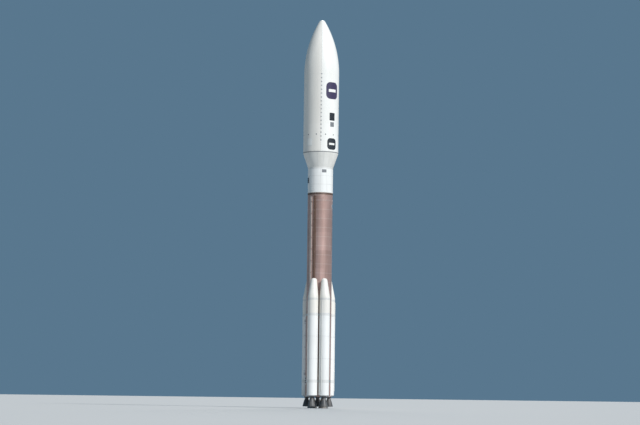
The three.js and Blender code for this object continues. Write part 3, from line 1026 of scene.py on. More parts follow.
    def cut(self, piece: Piece, normal: Sequence[float], x: float = 0.0) -> Piece:
        """Cuts off a part of a piece and closes the cut.

        Args:
            piece: the piece.
            normal: the cutting plane's normal, which points to what goes.
            x: where the plane crosses the X axis.

        Returns:
            The piece.
        """
        self.edit_all(piece)
        bpy.ops.mesh.bisect(plane_co=(x, 0, 0), plane_no=normal, use_fill=True, clear_outer=True)
        self.settle()
        return piece

    def sector(self, piece: Piece, half_angle: float) -> Piece:
        """Keeps only the front part of a piece that goes round the axis.

        Args:
            piece: the piece.
            half_angle: how far it reaches to each side of the front, in degrees.

        Returns:
            The piece.
        """
        self.cut(piece, (0, 1, 0))
        for side in (-1, 1):
            self.cut(piece, about_axis(side * half_angle) @ Vector((side, 0, 0)))
        return piece

    def bent(self, piece: Piece, radius: float) -> Piece:
        """Bends a flat piece, its back on Y = 0 and its face towards -Y, round a cylinder's front.

        Args:
            piece: the piece.
            radius: the cylinder's radius.

        Returns:
            The piece.
        """
        across = [vertex.co.x for vertex in piece.data.vertices]
        low, width = min(across), max(across) - min(across)
        cuts = math.ceil(width / radius / BEND_STEP)
        self.edit_all(piece)
        for i in range(1, cuts):
            bpy.ops.mesh.select_all(action="SELECT")
            bpy.ops.mesh.bisect(plane_co=(low + width * i / cuts, 0, 0), plane_no=(1, 0, 0))
        bpy.ops.object.mode_set(mode="OBJECT")
        self.modified(piece, "SIMPLE_DEFORM", deform_method="BEND", deform_axis="Z", angle=width / radius)
        return self.moved(piece, outwards(radius))


@dataclass(frozen=True)
class Door:
    """A flat access door."""

    name: str
    azimuth: float
    place: float  # how high it sits: a height, or a share of its section, as its class says
    width: float
    height: float
    lid: Look
    frame: Look = Look.WHITE_RING
    corner: float = 0.04
    body: str = STAGE


@dataclass
class Assembly:
    """What the sub-assemblies share: the bench, the finishes, and how pieces are handed over."""

    bench: Bench
    looks: dict[Look, bpy.types.Material]

    def dress(self, piece: Piece, look: Look, where: FaceTest | None = None) -> Piece:
        """Gives a finish to a piece, or to some of its faces.

        Args:
            piece: the piece.
            look: the finish.
            where: the test that those faces pass.

        Returns:
            The piece.
        """
        piece.data.materials.append(self.looks[look])
        index = len(piece.data.materials) - 1
        for face in piece.data.polygons:
            if where is None or where(face):
                face.material_index = index
        return piece

    def hand_over(
        self, piece: Piece, name: str, look: Look, body: str = STAGE, replaces: Sequence[str] = ()
    ) -> None:
        """Names a piece, shades it smooth, dresses it if it is bare, and hangs it on its body.

        Args:
            piece: the finished piece.
            name: its name.
            look: its finish, given to it if it is bare.
            body: the CAD body that it rides on.
            replaces: CAD nodes that it stands for.
        """
        piece.name = name
        if not piece.data.materials:
            self.dress(piece, look)
        self.bench.activate(piece)
        bpy.ops.object.shade_smooth_by_angle(angle=SMOOTH_ANGLE)
        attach(piece, body)
        if replaces:
            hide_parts(*replaces)
        log.info("%s: %d faces on %s", name, len(piece.data.polygons), body)

    def on_skin(self, piece: Piece, radius: float, azimuth: float = 0.0, height: float = 0.0) -> Piece:
        """Bends a flat piece round the vehicle's skin at an azimuth and a height."""
        return self.bench.moved(self.bench.bent(piece, radius), raised(height) @ about_axis(azimuth))

    def door(self, door: Door) -> Piece:
        """Models a door: a frame, a lid on it, and a row of screws round the lid.

        Args:
            door: what it is like.

        Returns:
            The piece, in the XZ plane, its face towards -Y.
        """
        bench = self.bench
        depth, lip, pitch, screw_size = 0.002, 0.03, 0.06, 0.006
        frame = self.dress(bench.plate(door.width, door.height, depth, door.corner), door.frame)
        inner = (door.width - 2 * lip, door.height - 2 * lip)
        lid = self.dress(bench.plate(*inner, depth * 2, door.corner * 0.7), door.lid)
        screw = bench.head(screw_size, depth * 2, depth)
        across, up = (door.width - lip) / 2, (door.height - lip) / 2
        columns, rows = round(2 * across / pitch), round(2 * up / pitch)
        sides = (-1, 1)
        spots = [(2 * across * i / columns - across, side * up) for i in range(1, columns) for side in sides]
        spots += [(side * across, 2 * up * i / rows - up) for i in range(1, rows) for side in sides]
        bench.copies(screw, [sideways(*spot) for spot in spots])
        return bench.joined([frame, lid, self.dress(screw, Look.BARE)])

    def hang_door(self, door: Door, radius: float, height: float, *fittings: Piece) -> None:
        """Models a door with the fittings that stand on its lid, and hands it over on a skin."""
        piece = self.on_skin(self.bench.joined([self.door(door), *fittings]), radius, door.azimuth, height)
        self.hand_over(piece, door.name, door.lid, door.body)


@dataclass
class CoreStage(Assembly):
    """The vehicle's skins from the aft skirt to the boattail."""

    barrel_height: float = 0.7
    weld_half: float = 0.03
    weld_depth: float = 0.002
    weld_chamfer: float = 0.001
    stringers: int = 80
    stringer_half: float = 0.011
    stringer_rise: float = 0.005
    bolts: int = 90
    joint_bolts: int = 120
    joint_lugs: int = 60
    upper_bolts: int = 72
    roof_height: float = 0.95
    skirt_wall: float = 0.025
    skirt_edge: float = 0.002
    pad_azimuths: Row = (-110, -55, 55, 110)
    foot_half: float = 0.08
    foot_reach: float = 0.065
    foot_height: float = 0.14
    gusset_half: float = 0.012
    gusset_x: float = 0.055
    gusset_height: float = 0.55
    gusset_tip: float = 0.012
    ports: Row = (-0.25, 0, 0.25)
    port_column: float = 0.2
    aft_panel: Door = Door("umbilical_panel_aft", -83, 1.24, 0.5, 0.62, Look.BARE)
    forward_panel: Door = Door("umbilical_panel_forward", -75, 0.51, 0.42, 0.5, Look.BARE)
    center_door: Door = Door("center_body_door", 75, 0.5, 0.34, 0.42, Look.COPPER, Look.COPPER_RING)
    vent_door: Door = Door("tank_vent_plate", 80, 0.42, 0.36, 0.36, Look.BARE, corner=0.17)
    skirt_door: Door = Door("door", 0, 0.5, 0.26, 0.2, Look.COPPER, Look.COPPER_RING, 0.03)
    skirt_door_azimuths: Row = (12, 70, 160, -150)
    interstage_doors: tuple[Door, ...] = (
        Door("interstage_door_front", -45, 0.17, 0.4, 0.34, Look.WHITE),
        Door("interstage_door_right", 105, 0.51, 0.36, 0.4, Look.WHITE),
        Door("interstage_door_rear", -135, 0.51, 0.36, 0.4, Look.WHITE),
    )
    patch_azimuth: float = 17.5
    patch_drop: float = 0.25
    patch_size: Pair = (0.36, 0.24)

    def build(self) -> None:
        """Builds every section. Its doors sit at a share of it, but for the aft panel and the vent."""
        self._aft_skirt()
        self._hold_down_fittings()
        for node in ("fuel_tank", "oxidizer_tank"):
            self._tank(node)
        self._center_body()
        self._forward_skirt()
        self._field_joint()
        self._interstage()
        self._boattail()

    def _skin(self, node: str, look: Look, ring: Look, middle: Profile = (), bolts: int = 0) -> Piece:
        """A framed skin whose ring frames have a finish of their own, with bolts round them.

        Args:
            node: the CAD node.
            look: the skin's finish.
            ring: the frames' finish.
            middle: what the profile does between the frames.
            bolts: bolts in each frame, if not the usual number.

        Returns:
            The piece.
        """
        span = Span.of(node)
        skin = self.bench.turned(span.framed(middle))
        self.dress(skin, look)
        self.dress(skin, ring, outside(span.radius - FRAME_DEPTH * 0.7))
        heads = self.bench.studs(span.radius, span.frames, bolts or self.bolts)
        return self.bench.joined([skin, self.dress(heads, ring)])

    def _ribs(self, skin: float, low: float, high: float) -> Piece:
        """Stringers up a skin, between two heights.

        Args:
            skin: the skin's radius.
            low: their lower end.
            high: their upper end.

        Returns:
            The piece.
        """
        depths = (skin - SUNK, skin + self.stringer_rise)
        rib = self.bench.block(self.stringer_half, depths, (low, high), 0.002, 0.03)
        return self.bench.copies(rib, even_turns(self.stringers))

    def _ports(self, panel: Door) -> Piece:
        """Round connectors in two columns on a panel in the XZ plane.

        Args:
            panel: the panel.

        Returns:
            The piece.
        """
        port = self.bench.turned([
            (0, 0), (0.05, 0), (0.05, 0.012), (0.04, 0.016), (0.04, 0.03), (0.03, 0.03), (0.03, 0.014),
            (0, 0.014),
        ], SMALL_SIDES)
        self.bench.moved(port, Matrix.Rotation(math.pi / 2, 4, "X"))
        columns = (-panel.width * self.port_column, panel.width * self.port_column)
        self.bench.copies(port, [sideways(x, panel.height * share) for x in columns for share in self.ports])
        return self.dress(port, Look.DARK)

    def _aft_skirt(self) -> None:
        """The open skirt round the engine bay, its stringers, and the umbilical plate on its left."""
        skirt = Span(self.skirt_edge, Span.of("aft_skirt").high, Span.of("center_body").radius)
        skin, roof = skirt.skin, self.roof_height
        inner = skin - self.skirt_wall
        shell = self.bench.turned([
            (0, roof), (inner, roof), (inner, skirt.low),
            *band(skirt.low, skirt.low + FRAME_HEIGHT, skin, FRAME_DEPTH),
            *band(roof, roof + FRAME_HEIGHT, skin, FRAME_DEPTH),
            *band(skirt.high - FRAME_HEIGHT, skirt.high, skin, FRAME_DEPTH),
            (0, skirt.high),
        ])
        is_outer, is_above = outside(inner + 0.001), above(roof + CHAMFER)
        self.dress(shell, Look.COPPER)
        self.dress(shell, Look.COPPER_RING, outside(skirt.radius - FRAME_DEPTH * 0.3))
        self.dress(shell, Look.DARK, lambda face: not is_outer(face) and not is_above(face))
        ribs = self._ribs(skin, skirt.low + 0.1, roof - 0.04)
        heads = self.bench.studs(skirt.radius, [*skirt.frames, roof + FRAME_HEIGHT / 2], self.bolts)
        parts = [shell, self.dress(ribs, Look.COPPER), self.dress(heads, Look.COPPER_RING)]
        self.hand_over(self.bench.joined(parts), "aft_skirt_skin", Look.COPPER, replaces=["aft_skirt"])
        panel = self.aft_panel
        self.hang_door(panel, skin + 0.006, panel.place, self._ports(panel))

    def _hold_down_fittings(self) -> None:
        """Forged feet under the skirt, each with two gussets that taper up its skin, and a bolt."""
        bench, reach = self.bench, self.foot_reach
        skin = Span.of("center_body").skin
        low, back = heights_of("aft_skirt")[0], skin - 0.02
        top = low + self.foot_height
        foot = bench.block(self.foot_half, (back, skin + reach), (low, top), 0.008)
        depths, heights = (back, skin + reach * 0.8), (low + 0.05, low + self.gusset_height)
        webs = [
            bench.block(self.gusset_half, depths, heights, 0.004, x=side * self.gusset_x) for side in (-1, 1)
        ]
        for web in webs:
            for vertex in web.data.vertices:
                if vertex.co.z > top and vertex.co.y < -skin:
                    vertex.co.y = -skin - self.gusset_tip
        profile = [(0, 0), (0.035, 0), (0.035, 0.03), (0.022, 0.034), (0.022, 0.07), (0, 0.07)]
        bolt = bench.turned(profile, HEXAGON)
        bench.moved(bolt, outwards(skin + reach * 0.55, top))
        fitting = bench.joined([foot, *webs, bolt])
        self.hand_over(bench.copies(fitting, turns(self.pad_azimuths)), "hold_down_fittings", Look.BARE)

    def _tank(self, node: str) -> None:
        """A tank of equal barrels, with a raised weld land where two meet.

        Args:
            node: the CAD node.
        """
        span = Span.of(node)
        barrels = round((span.high - span.low) / self.barrel_height)
        welds = [span.at(i / barrels) for i in range(1, barrels)]
        middle = bands(welds, self.weld_half, span.skin, self.weld_depth, self.weld_chamfer)
        piece = self._skin(node, Look.COPPER, Look.COPPER_RING, middle)
        self.dress(piece, Look.COPPER_RING, outside(span.skin + self.weld_depth * 0.4))
        self.hand_over(piece, f"{node}_skin", Look.COPPER, replaces=[node])

    def _center_body(self) -> None:
        """The stiffened section between the tanks, with its door."""
        span = Span.of("center_body")
        skin = self._skin("center_body", Look.COPPER, Look.COPPER_RING)
        ribs = self._ribs(span.skin, span.low + FRAME_HEIGHT + 0.02, span.high - FRAME_HEIGHT - 0.02)
        skin = self.bench.joined([skin, self.dress(ribs, Look.COPPER_RING)])
        self.hand_over(skin, "center_body_skin", Look.COPPER, replaces=["center_body"])
        self.hang_door(self.center_door, span.radius - 0.002, span.at(self.center_door.place))

    def _forward_skirt(self) -> None:
        """The short section on top of the oxidizer tank, with four doors, and the tank's vent."""
        span = Span.of("forward_skirt")
        skirt = self._skin("forward_skirt", Look.COPPER, Look.COPPER_RING)
        self.hand_over(skirt, "forward_skirt_skin", Look.COPPER, replaces=["forward_skirt"])
        model = self.on_skin(self.door(self.skirt_door), span.skin)
        height = raised(span.at(self.skirt_door.place))
        doors = self.bench.copies(model, [height @ turn for turn in turns(self.skirt_door_azimuths)])
        self.hand_over(doors, "forward_skirt_doors", Look.COPPER)
        self.hang_door(self.vent_door, span.skin, Span.of("oxidizer_tank").high - self.vent_door.place)

    def _field_joint(self) -> None:
        """The bare ring where the stages part, with a bracket at each bolt."""
        span = Span.of("field_joint_ring")
        # The ring and its frames are darkened partly as painted shadow under the interstage's lower edge.
        ring = self._skin("field_joint_ring", Look.JOINT, Look.COPPER_DARK, bolts=self.joint_bolts)
        depths = (span.skin, span.skin + 0.006)
        lug = self.bench.block(0.02, depths, (span.low + 0.05, span.high - 0.05), 0.002)
        lugs = self.bench.copies(lug, even_turns(self.joint_lugs))
        ring = self.bench.joined([ring, self.dress(lugs, Look.DARK)])
        self.hand_over(ring, "field_joint_ring_skin", Look.JOINT, replaces=["field_joint_ring"])

    def _interstage(self) -> None:
        """The white cylinder under the boattail, with doors, a plate of ports and a plain patch."""
        span = Span.of("interstage")
        skin, bench = span.skin, self.bench
        middle = bands([span.at(0.34), span.at(0.68)], 0.02, skin, 0.003)
        shell = self._skin("interstage", Look.WHITE, Look.WHITE_RING, middle, self.upper_bolts)
        depths = (skin - 0.002, skin + 0.003)
        strap = bench.block(0.014, depths, (span.low + 0.05, span.high - 0.05), 0.001)
        straps = bench.copies(strap, even_turns(12))
        shell = bench.joined([shell, self.dress(straps, Look.WHITE_RING)])
        self.hand_over(shell, "interstage_skin", Look.WHITE, replaces=["interstage"])
        for door in self.interstage_doors:
            self.hang_door(door, skin, span.at(door.place))
        panel = self.forward_panel
        self.hang_door(panel, skin, span.at(panel.place), self._ports(panel))
        patch = bench.plate(*self.patch_size, 0.002, 0.02)
        self.on_skin(patch, skin, self.patch_azimuth, span.high - self.patch_drop)
        self.hand_over(patch, "plain_grey_patch", Look.GREY)

    def _boattail(self) -> None:
        """The flare under the fairing, in panels, with a dark grey band at its top: painted shadow under the
        fairing's base ring.
        """
        span, bench = Span.of("boattail"), self.bench
        foot, top = Span.of("interstage").radius, span.radius
        knee_low, knee_high = span.low + FRAME_HEIGHT, span.high - FRAME_HEIGHT
        shell = bench.turned([
            (0, span.low), (foot - CHAMFER, span.low), (foot, span.low + CHAMFER), (foot, knee_low),
            (top - 0.004, knee_high - 0.01), (top - CHAMFER, knee_high), (top - CHAMFER, span.high),
            (0, span.high),
        ])
        is_shadow_rim, is_above = outside(top * 0.9), above(knee_high)
        self.dress(shell, Look.CREAM)
        # Grey rim at the top of the flare: painted shadow cast by the fairing's base ring.
        self.dress(shell, Look.GREY, lambda face: is_shadow_rim(face) and is_above(face))
        length, lay = slope((foot, knee_low), (top, knee_high))
        strip = bench.block(0.016, (-0.003, 0.003), (0.03, length - 0.03), 0.001)
        strips = bench.copies(bench.moved(strip, lay), even_turns(16, 11.25))
        heads = bench.studs(foot, span.frames[:1], self.upper_bolts)
        parts = [shell, self.dress(strips, Look.WHITE_RING), self.dress(heads, Look.BARE)]
        self.hand_over(bench.joined(parts), "boattail_skin", Look.CREAM, replaces=["boattail"])


@dataclass
class OutsideLines(Assembly):
    """What runs up the outside of the core: two raceways, a dark channel and the oxidizer feed line."""

    # Each raceway's CAD node, azimuth, width, and how far it stands out from the skin.
    raceways: tuple[tuple[str, float, float, float], ...] = (
        ("raceway_front", -45, 0.2, 0.061),
        ("raceway_rear", 118, 0.17, 0.071),
    )
    clamp_pitch: float = 0.9
    clamp_margin: float = 0.4
    channel_azimuth: float = -24.5
    channel_half: float = 0.1
    lip_half: float = 0.012
    feed_azimuth: float = -113
    feed_radius: float = 0.095
    feed_run: float = 1.0825
    feed_bend: float = 0.165
    feed_low: float = 1.35
    feed_high: float = 6.2
    flanges: int = 5
    bellows_ribs: int = 6
    bellows_pitch: float = 0.03

    def build(self) -> None:
        """Builds the raceways, the channel and the feed line."""
        self._raceways()
        self._dark_channel()
        self._feed_line()

    def _raceways(self) -> None:
        """Flat cable covers with sloping ends, lids, and straps that hold them down."""
        bench, back = self.bench, Span.of("fuel_tank").skin
        for node, azimuth, width, depth in self.raceways:
            (low, high), face = heights_of(node), back + depth
            cover = bench.block(width / 2, (back, face), (low, high), 0.006, depth * 3)
            heights = (low + depth * 4, high - depth * 4)
            lid = bench.block(width * 0.36, (face - 0.004, face + 0.004), heights, 0.002)
            strap = bench.block(width / 2 + 0.03, (back, face + 0.006), (-0.03, 0.03), 0.004)
            run = high - low - 2 * self.clamp_margin
            count = int(run / self.clamp_pitch)
            bench.copies(strap, stack(low + self.clamp_margin, run / count, count + 1))
            covers = [self.dress(piece, Look.RACEWAY) for piece in (cover, lid)]
            piece = bench.joined([*covers, self.dress(strap, Look.COPPER_RING)])
            bench.moved(piece, about_axis(azimuth))
            self.hand_over(piece, f"{node}_cover", Look.RACEWAY, replaces=[node])

    def _dark_channel(self) -> None:
        """A flat dark channel that runs up the tank beside the front raceway."""
        bench, back, half = self.bench, Span.of("oxidizer_tank").skin, self.channel_half
        low, high = Span.of("center_body").high + 0.1, Span.of("forward_skirt").high - 0.07
        base = bench.block(half, (back - SUNK, back + 0.008), (low, high), 0.002, 0.02)
        edge = half - self.lip_half
        depths = (back, back + 0.014)
        lips = [bench.block(self.lip_half, depths, (low, high), 0.002, 0.02, x) for x in (-edge, edge)]
        clip = bench.block(half + 0.02, (back, back + 0.017), (-0.02, 0.02), 0.002)
        count = int((high - low) / self.clamp_pitch)
        bench.copies(clip, stack(low + self.clamp_pitch / 2, self.clamp_pitch, count))
        channel = bench.moved(bench.joined([base, *lips, clip]), about_axis(self.channel_azimuth))
        self.hand_over(channel, "side_channel", Look.COPPER_DARK)

    def _feed_pipe(self) -> Piece:
        """The pipe itself: out of the core, down, and back in, with a quarter bend at each end.

        Returns:
            The piece.
        """
        self.bench.clear()
        inside = Span.of("fuel_tank").radius * 0.97
        knee = self.feed_run - self.feed_bend
        bpy.ops.mesh.primitive_circle_add(
            vertices=SMALL_SIDES, radius=self.feed_radius, fill_type="NGON",
            location=(0, -inside, self.feed_high), rotation=(math.pi / 2, 0, 0),
        )
        pipe = self.bench.made()
        bpy.ops.object.mode_set(mode="EDIT")
        bpy.ops.mesh.select_all(action="SELECT")
        bend = {"steps": 8, "angle": math.pi / 2, "axis": (-1, 0, 0)}
        drop = self.feed_low - self.feed_high + 2 * self.feed_bend
        bpy.ops.mesh.extrude_region_move(TRANSFORM_OT_translate={"value": (0, inside - knee, 0)})
        bpy.ops.mesh.spin(center=(0, -knee, self.feed_high - self.feed_bend), **bend)
        bpy.ops.mesh.extrude_region_move(TRANSFORM_OT_translate={"value": (0, 0, drop)})
        bpy.ops.mesh.spin(center=(0, -knee, self.feed_low + self.feed_bend), **bend)
        bpy.ops.mesh.extrude_region_move(TRANSFORM_OT_translate={"value": (0, knee - inside, 0)})
        self.bench.settle()
        return pipe

    def _feed_line(self) -> None:
        """The feed line with its bellows, flanges and standoff brackets."""
        bench, radius, pitch = self.bench, self.feed_radius, self.bellows_pitch
        pipe = self.dress(self._feed_pipe(), Look.WHITE)
        top, bottom = self.feed_high - self.feed_bend, self.feed_low + self.feed_bend
        bore, collar = radius * 0.98, radius + 0.022
        ribs: Profile = [(bore, 0)]
        for i in range(self.bellows_ribs):
            ribs += [(radius + 0.012, pitch / 2 + pitch * i), (radius + 0.002, pitch + pitch * i)]
        ribs += [(bore, pitch * self.bellows_ribs), ribs[0]]
        bellows = bench.turned(ribs, SMALL_SIDES)
        section = [(bore, -0.02), (collar, -0.016), (collar, 0.016), (bore, 0.02), (bore, -0.02)]
        flange = bench.turned(section, SMALL_SIDES)
        bench.copies(bellows, [raised(top - 0.35), raised(bottom + 0.15)])
        step = (top - bottom - 0.9) / (self.flanges - 1)
        bench.copies(flange, stack(bottom + 0.45, step, self.flanges))
        rings = bench.joined([self.dress(bellows, Look.BARE), self.dress(flange, Look.BARE)])
        bench.moved(rings, outwards(self.feed_run))
        depths = (Span.of("fuel_tank").skin - SUNK, self.feed_run - 0.02)
        bracket = bench.block(0.06, depths, (bottom + 0.42, bottom + 0.48), 0.006)
        bench.copies(bracket, stack(0, step, self.flanges))
        piece = bench.joined([pipe, rings, self.dress(bracket, Look.BARE)])
        bench.moved(piece, about_axis(self.feed_azimuth))
        self.hand_over(piece, "feed_line_pipe", Look.WHITE, replaces=["feed_line"])


@dataclass
class StrapOnBoosters(Assembly):
    """The five solid boosters. One is modelled at the front and copied to each place."""

    places: tuple[tuple[str, float], ...] = (
        ("front_left", -18),
        ("front_right", 18),
        ("rear_right", 144),
        ("rear_center", 180),
        ("rear_left", -144),
    )
    circle: float = 1.435
    radius: float = 0.395
    foot_chamfer: float = 0.03
    band_depth: float = 0.0015
    bands: tuple[Pair, ...] = ((1.075, 1.3), (2.85, 2.91), (4.55, 4.61), (6.125, 6.325))
    top_band: float = 0.09
    wide_band: float = 0.08
    pins: int = 60
    pin_size: float = 0.008
    pin_rise: float = 0.002
    pin_inset: float = 0.015
    ivory_above: float = 6.225
    tunnel_azimuth: float = -50
    tunnel_depth: float = 0.022
    tunnel_straps: int = 11
    nose_straight: float = 0.125
    nose_band: float = 0.06
    nose_band_depth: float = 0.003
    nose_screws: int = 36
    groove: float = 0.004
    groove_shares: Row = (0.25, 0.5, 0.75)
    cap_radius: float = 0.235
    cap_height: float = 0.19
    cap_steps: int = 9
    cant: float = 3
    throat_radius: float = 0.13
    exit_radius: float = 0.295
    bell_wall: float = 0.024
    bell_steps: int = 12
    bell_bulge: float = 0.35

    def build(self) -> None:
        """Models a case, a nose and a nozzle, and copies each to the five places."""
        models = {
            "case": (self._case(), Look.WHITE),
            "nose": (self._nose(), Look.IVORY),
            "nozzle": (self._nozzle(), Look.CARBON),
        }
        for kind, (model, look) in models.items():
            for place, azimuth in self.places:
                stand = about_axis(azimuth) @ outwards(self.circle)
                piece = self.bench.copy(model, stand)
                self.hand_over(piece, f"booster_{place}_{kind}", look, replaces=[f"booster_{kind}_{place}"])
            self.bench.discard(model)

    def _case(self) -> Piece:
        """The motor case: segments, joint bands with their pins, and the cable tunnel.

        Returns:
            The piece.
        """
        low, high = heights_of("booster_case_rear_center")
        bench, radius, depth = self.bench, self.radius, self.band_depth
        profile: Profile = [(0, low), (radius - self.foot_chamfer, low), (radius, low + self.foot_chamfer)]
        all_bands = (*self.bands, (high - self.top_band, high))
        for bottom, top in all_bands:
            profile += band(bottom, top, radius, depth)
        case = bench.turned([*profile, (0, high)], BOOSTER_SIDES)
        wide = [(bottom, top) for bottom, top in all_bands if top - bottom > self.wide_band]
        is_raised = outside(radius + depth * 0.3)
        self.dress(case, Look.WHITE)
        self.dress(case, Look.IVORY, above(self.ivory_above))
        self.dress(case, Look.WHITE_RING, lambda face: is_raised(face) and any(
            bottom < face.center.z < top for bottom, top in wide
        ))
        inset = self.pin_inset
        heights = [height for bottom, top in self.bands for height in (bottom + inset, top - inset)]
        heights.append(high - self.top_band / 2)
        pins = bench.studs(radius + depth, heights, self.pins, self.pin_size, self.pin_rise)
        face = radius + self.tunnel_depth
        tunnel = bench.block(0.034, (radius - 0.02, face), (0.4, high - 0.12), 0.003, 0.06)
        strap = bench.block(0.05, (radius - 0.01, face + 0.003), (-0.02, 0.02), 0.002)
        bench.copies(strap, stack(0.75, 0.6, self.tunnel_straps))
        line = bench.joined([self.dress(tunnel, Look.CREAM), self.dress(strap, Look.WHITE_RING)])
        bench.moved(line, about_axis(self.tunnel_azimuth))
        return bench.joined([case, self.dress(pins, Look.BARE), line])

    def _nose(self) -> Piece:
        """The nose leans towards the core: its inboard side is straight and its outboard side slants.

        Returns:
            The piece.
        """
        low, tip = heights_of("booster_case_rear_center")[1], heights_of("booster_nose_rear_center")[1]
        slant_low, slant_high = low + self.nose_straight, tip - self.cap_height
        shift, groove, band_top = self.radius - self.cap_radius, self.groove, low + self.nose_band

        def lean(height: float) -> float:
            """How far the axis stands off at a height."""
            share = (height - slant_low) / (slant_high - slant_low)
            return shift * min(max(share, 0.0), 1.0)

        def side(share: float) -> Point:
            """The radius and height at a share of the slant."""
            return self.radius - shift * share, slant_low + (slant_high - slant_low) * share

        skin = self.radius - self.nose_band_depth
        profile: Profile = [(0, low), *band(low, band_top, skin, self.nose_band_depth), side(0)]
        for radius, height in map(side, self.groove_shares):
            profile += [(radius, height - groove), (radius - groove, height), (radius, height + groove)]
        for i in range(self.cap_steps):
            turn = math.pi / 2 * i / self.cap_steps
            profile.append((self.cap_radius * math.cos(turn), slant_high + self.cap_height * math.sin(turn)))
        nose = self.bench.turned([*profile, (0, tip)], BOOSTER_SIDES, lean)
        is_above = above(band_top)
        self.dress(nose, Look.IVORY)
        self.dress(nose, Look.WHITE_RING, lambda face: not is_above(face))
        middle = low + self.nose_band / 2
        screws = self.bench.studs(self.radius, [middle], self.nose_screws, self.pin_size, self.pin_rise)
        return self.bench.joined([nose, self.dress(screws, Look.BARE)])

    def _nozzle(self) -> Piece:
        """The canted nozzle: bolted flange, wound bell with a lip, charred inside.

        Returns:
            The piece.
        """
        bench, (low, high) = self.bench, heights_of("booster_nozzle_rear_center")
        top, exit_plane = high - 0.01, low + 0.012
        throat, flange_radius, lip_radius = top - 0.19, 0.31, self.exit_radius + 0.004
        outer: Profile = []
        for i in range(self.bell_steps + 1):
            share = i / self.bell_steps
            growth = (1 + self.bell_bulge) * share - self.bell_bulge * share**2
            radius = self.throat_radius + (self.exit_radius - self.throat_radius) * growth
            outer.append((radius, throat + (exit_plane - throat) * share))
        inner = [(radius - self.bell_wall, height) for radius, height in reversed(outer)]
        bell = bench.turned([
            (0, top), (flange_radius, top), (flange_radius, top - 0.045), (0.22, top - 0.065), *outer[:-1],
            (lip_radius, exit_plane + 0.05), (lip_radius, exit_plane), *inner, (0, throat + 0.02),
        ], BOOSTER_SIDES)
        self.dress(bell, Look.CARBON)
        self.dress(bell, Look.BARE, above(top - 0.06))
        self.dress(bell, Look.SOOT, faces_axis())
        bolt = bench.turned(disc(0.012, 0, -0.012), HEXAGON)
        bolts = bench.copies(bench.moved(bolt, outwards(0.285, top - 0.043)), even_turns(24))
        nozzle = bench.joined([bell, self.dress(bolts, Look.DARK)])
        return bench.moved(nozzle, Matrix.Rotation(math.radians(-self.cant), 4, "X"))


@dataclass
class AttachHardware(Assembly):
    """The two rings that carry the boosters, with a fitting or a pair of struts to each."""

    azimuths: Row = tuple(azimuth for _, azimuth in StrapOnBoosters.places)
    case_face: float = 1.04
    ring_gap: float = 0.0005
    ring_chamfer: float = 0.002
    ring_bolts: int = 72
    fitting_half: float = 0.105
    web_half: float = 0.012
    web_places: Row = (-0.08, 0.0, 0.08)
    pin_radius: float = 0.022
    strut_radius: float = 0.0275
    strut_root: float = 0.2
    strut_tip: float = 0.075

    def build(self) -> None:
        """Builds both rings, and repeats the fitting of each at every booster."""
        for place, fitting in (("forward", self._thrust_fitting), ("aft", self._struts)):
            node = f"booster_attach_ring_{place}"
            span = Span(*heights_of(node), Span.of("center_body").radius)
            fittings = self.bench.copies(self.bench.joined(fitting(span)), turns(self.azimuths))
            ring = self.bench.joined([self._strap(span), self.dress(fittings, Look.BARE)])
            self.hand_over(ring, f"{node}_strap", Look.BARE, replaces=[node])

    def _strap(self, span: Span) -> Piece:
        """The ring round the core, with its bolts.

        Args:
            span: where it is.

        Returns:
            The piece.
        """
        inner, chamfer = span.skin + self.ring_gap, self.ring_chamfer
        ring = self.bench.turned([
            (inner, span.low), (span.radius - chamfer, span.low), (span.radius, span.low + chamfer),
            (span.radius, span.high - chamfer), (span.radius - chamfer, span.high), (inner, span.high),
            (inner, span.low),
        ])
        rows = [span.low + 0.025, span.high - 0.025]
        heads = self.bench.studs(span.radius, rows, self.ring_bolts, 0.008)
        return self.bench.joined([self.dress(ring, Look.BARE), self.dress(heads, Look.DARK)])

    def _thrust_fitting(self, span: Span) -> list[Piece]:
        """The forward ring's ribbed thrust fitting.

        Args:
            span: where the ring is.

        Returns:
            Its parts, at the front.
        """
        bench, half = self.bench, self.fitting_half
        inner, face = span.radius - 0.01, self.case_face + 0.008
        pad = bench.block(half, (inner, inner + 0.03), (span.low, span.high), 0.006)
        heights = (span.low + 0.01, span.high - 0.01)
        webs = [bench.block(self.web_half, (inner, face), heights, 0.003, x=x) for x in self.web_places]
        depth, middle = (inner + face) / 2 + 0.01, span.at(0.5)
        return [pad, *webs, bench.rod((-half, -depth, middle), (half, -depth, middle), self.pin_radius)]

    def _struts(self, span: Span) -> list[Piece]:
        """The aft ring's two splayed struts with their end fittings.

        Args:
            span: where the ring is.

        Returns:
            Their parts, at the front.
        """
        bench, middle, root, tip = self.bench, span.at(0.5), self.strut_root, self.strut_tip
        core, case = math.sqrt((span.radius - 0.02) ** 2 - root**2), self.case_face + 0.01
        heights = (middle - 0.06, middle + 0.06)
        parts = []
        for side in (-1, 1):
            start, end = (side * root, -core, middle), (side * tip, -case, middle)
            parts.append(bench.rod(start, end, self.strut_radius))
            parts.append(bench.block(0.05, (core - 0.04, core + 0.03), heights, 0.008, x=side * root))
        heights = (middle - 0.05, middle + 0.05)
        return [*parts, bench.block(tip + 0.05, (case - 0.022, case + 0.005), heights, 0.006)]


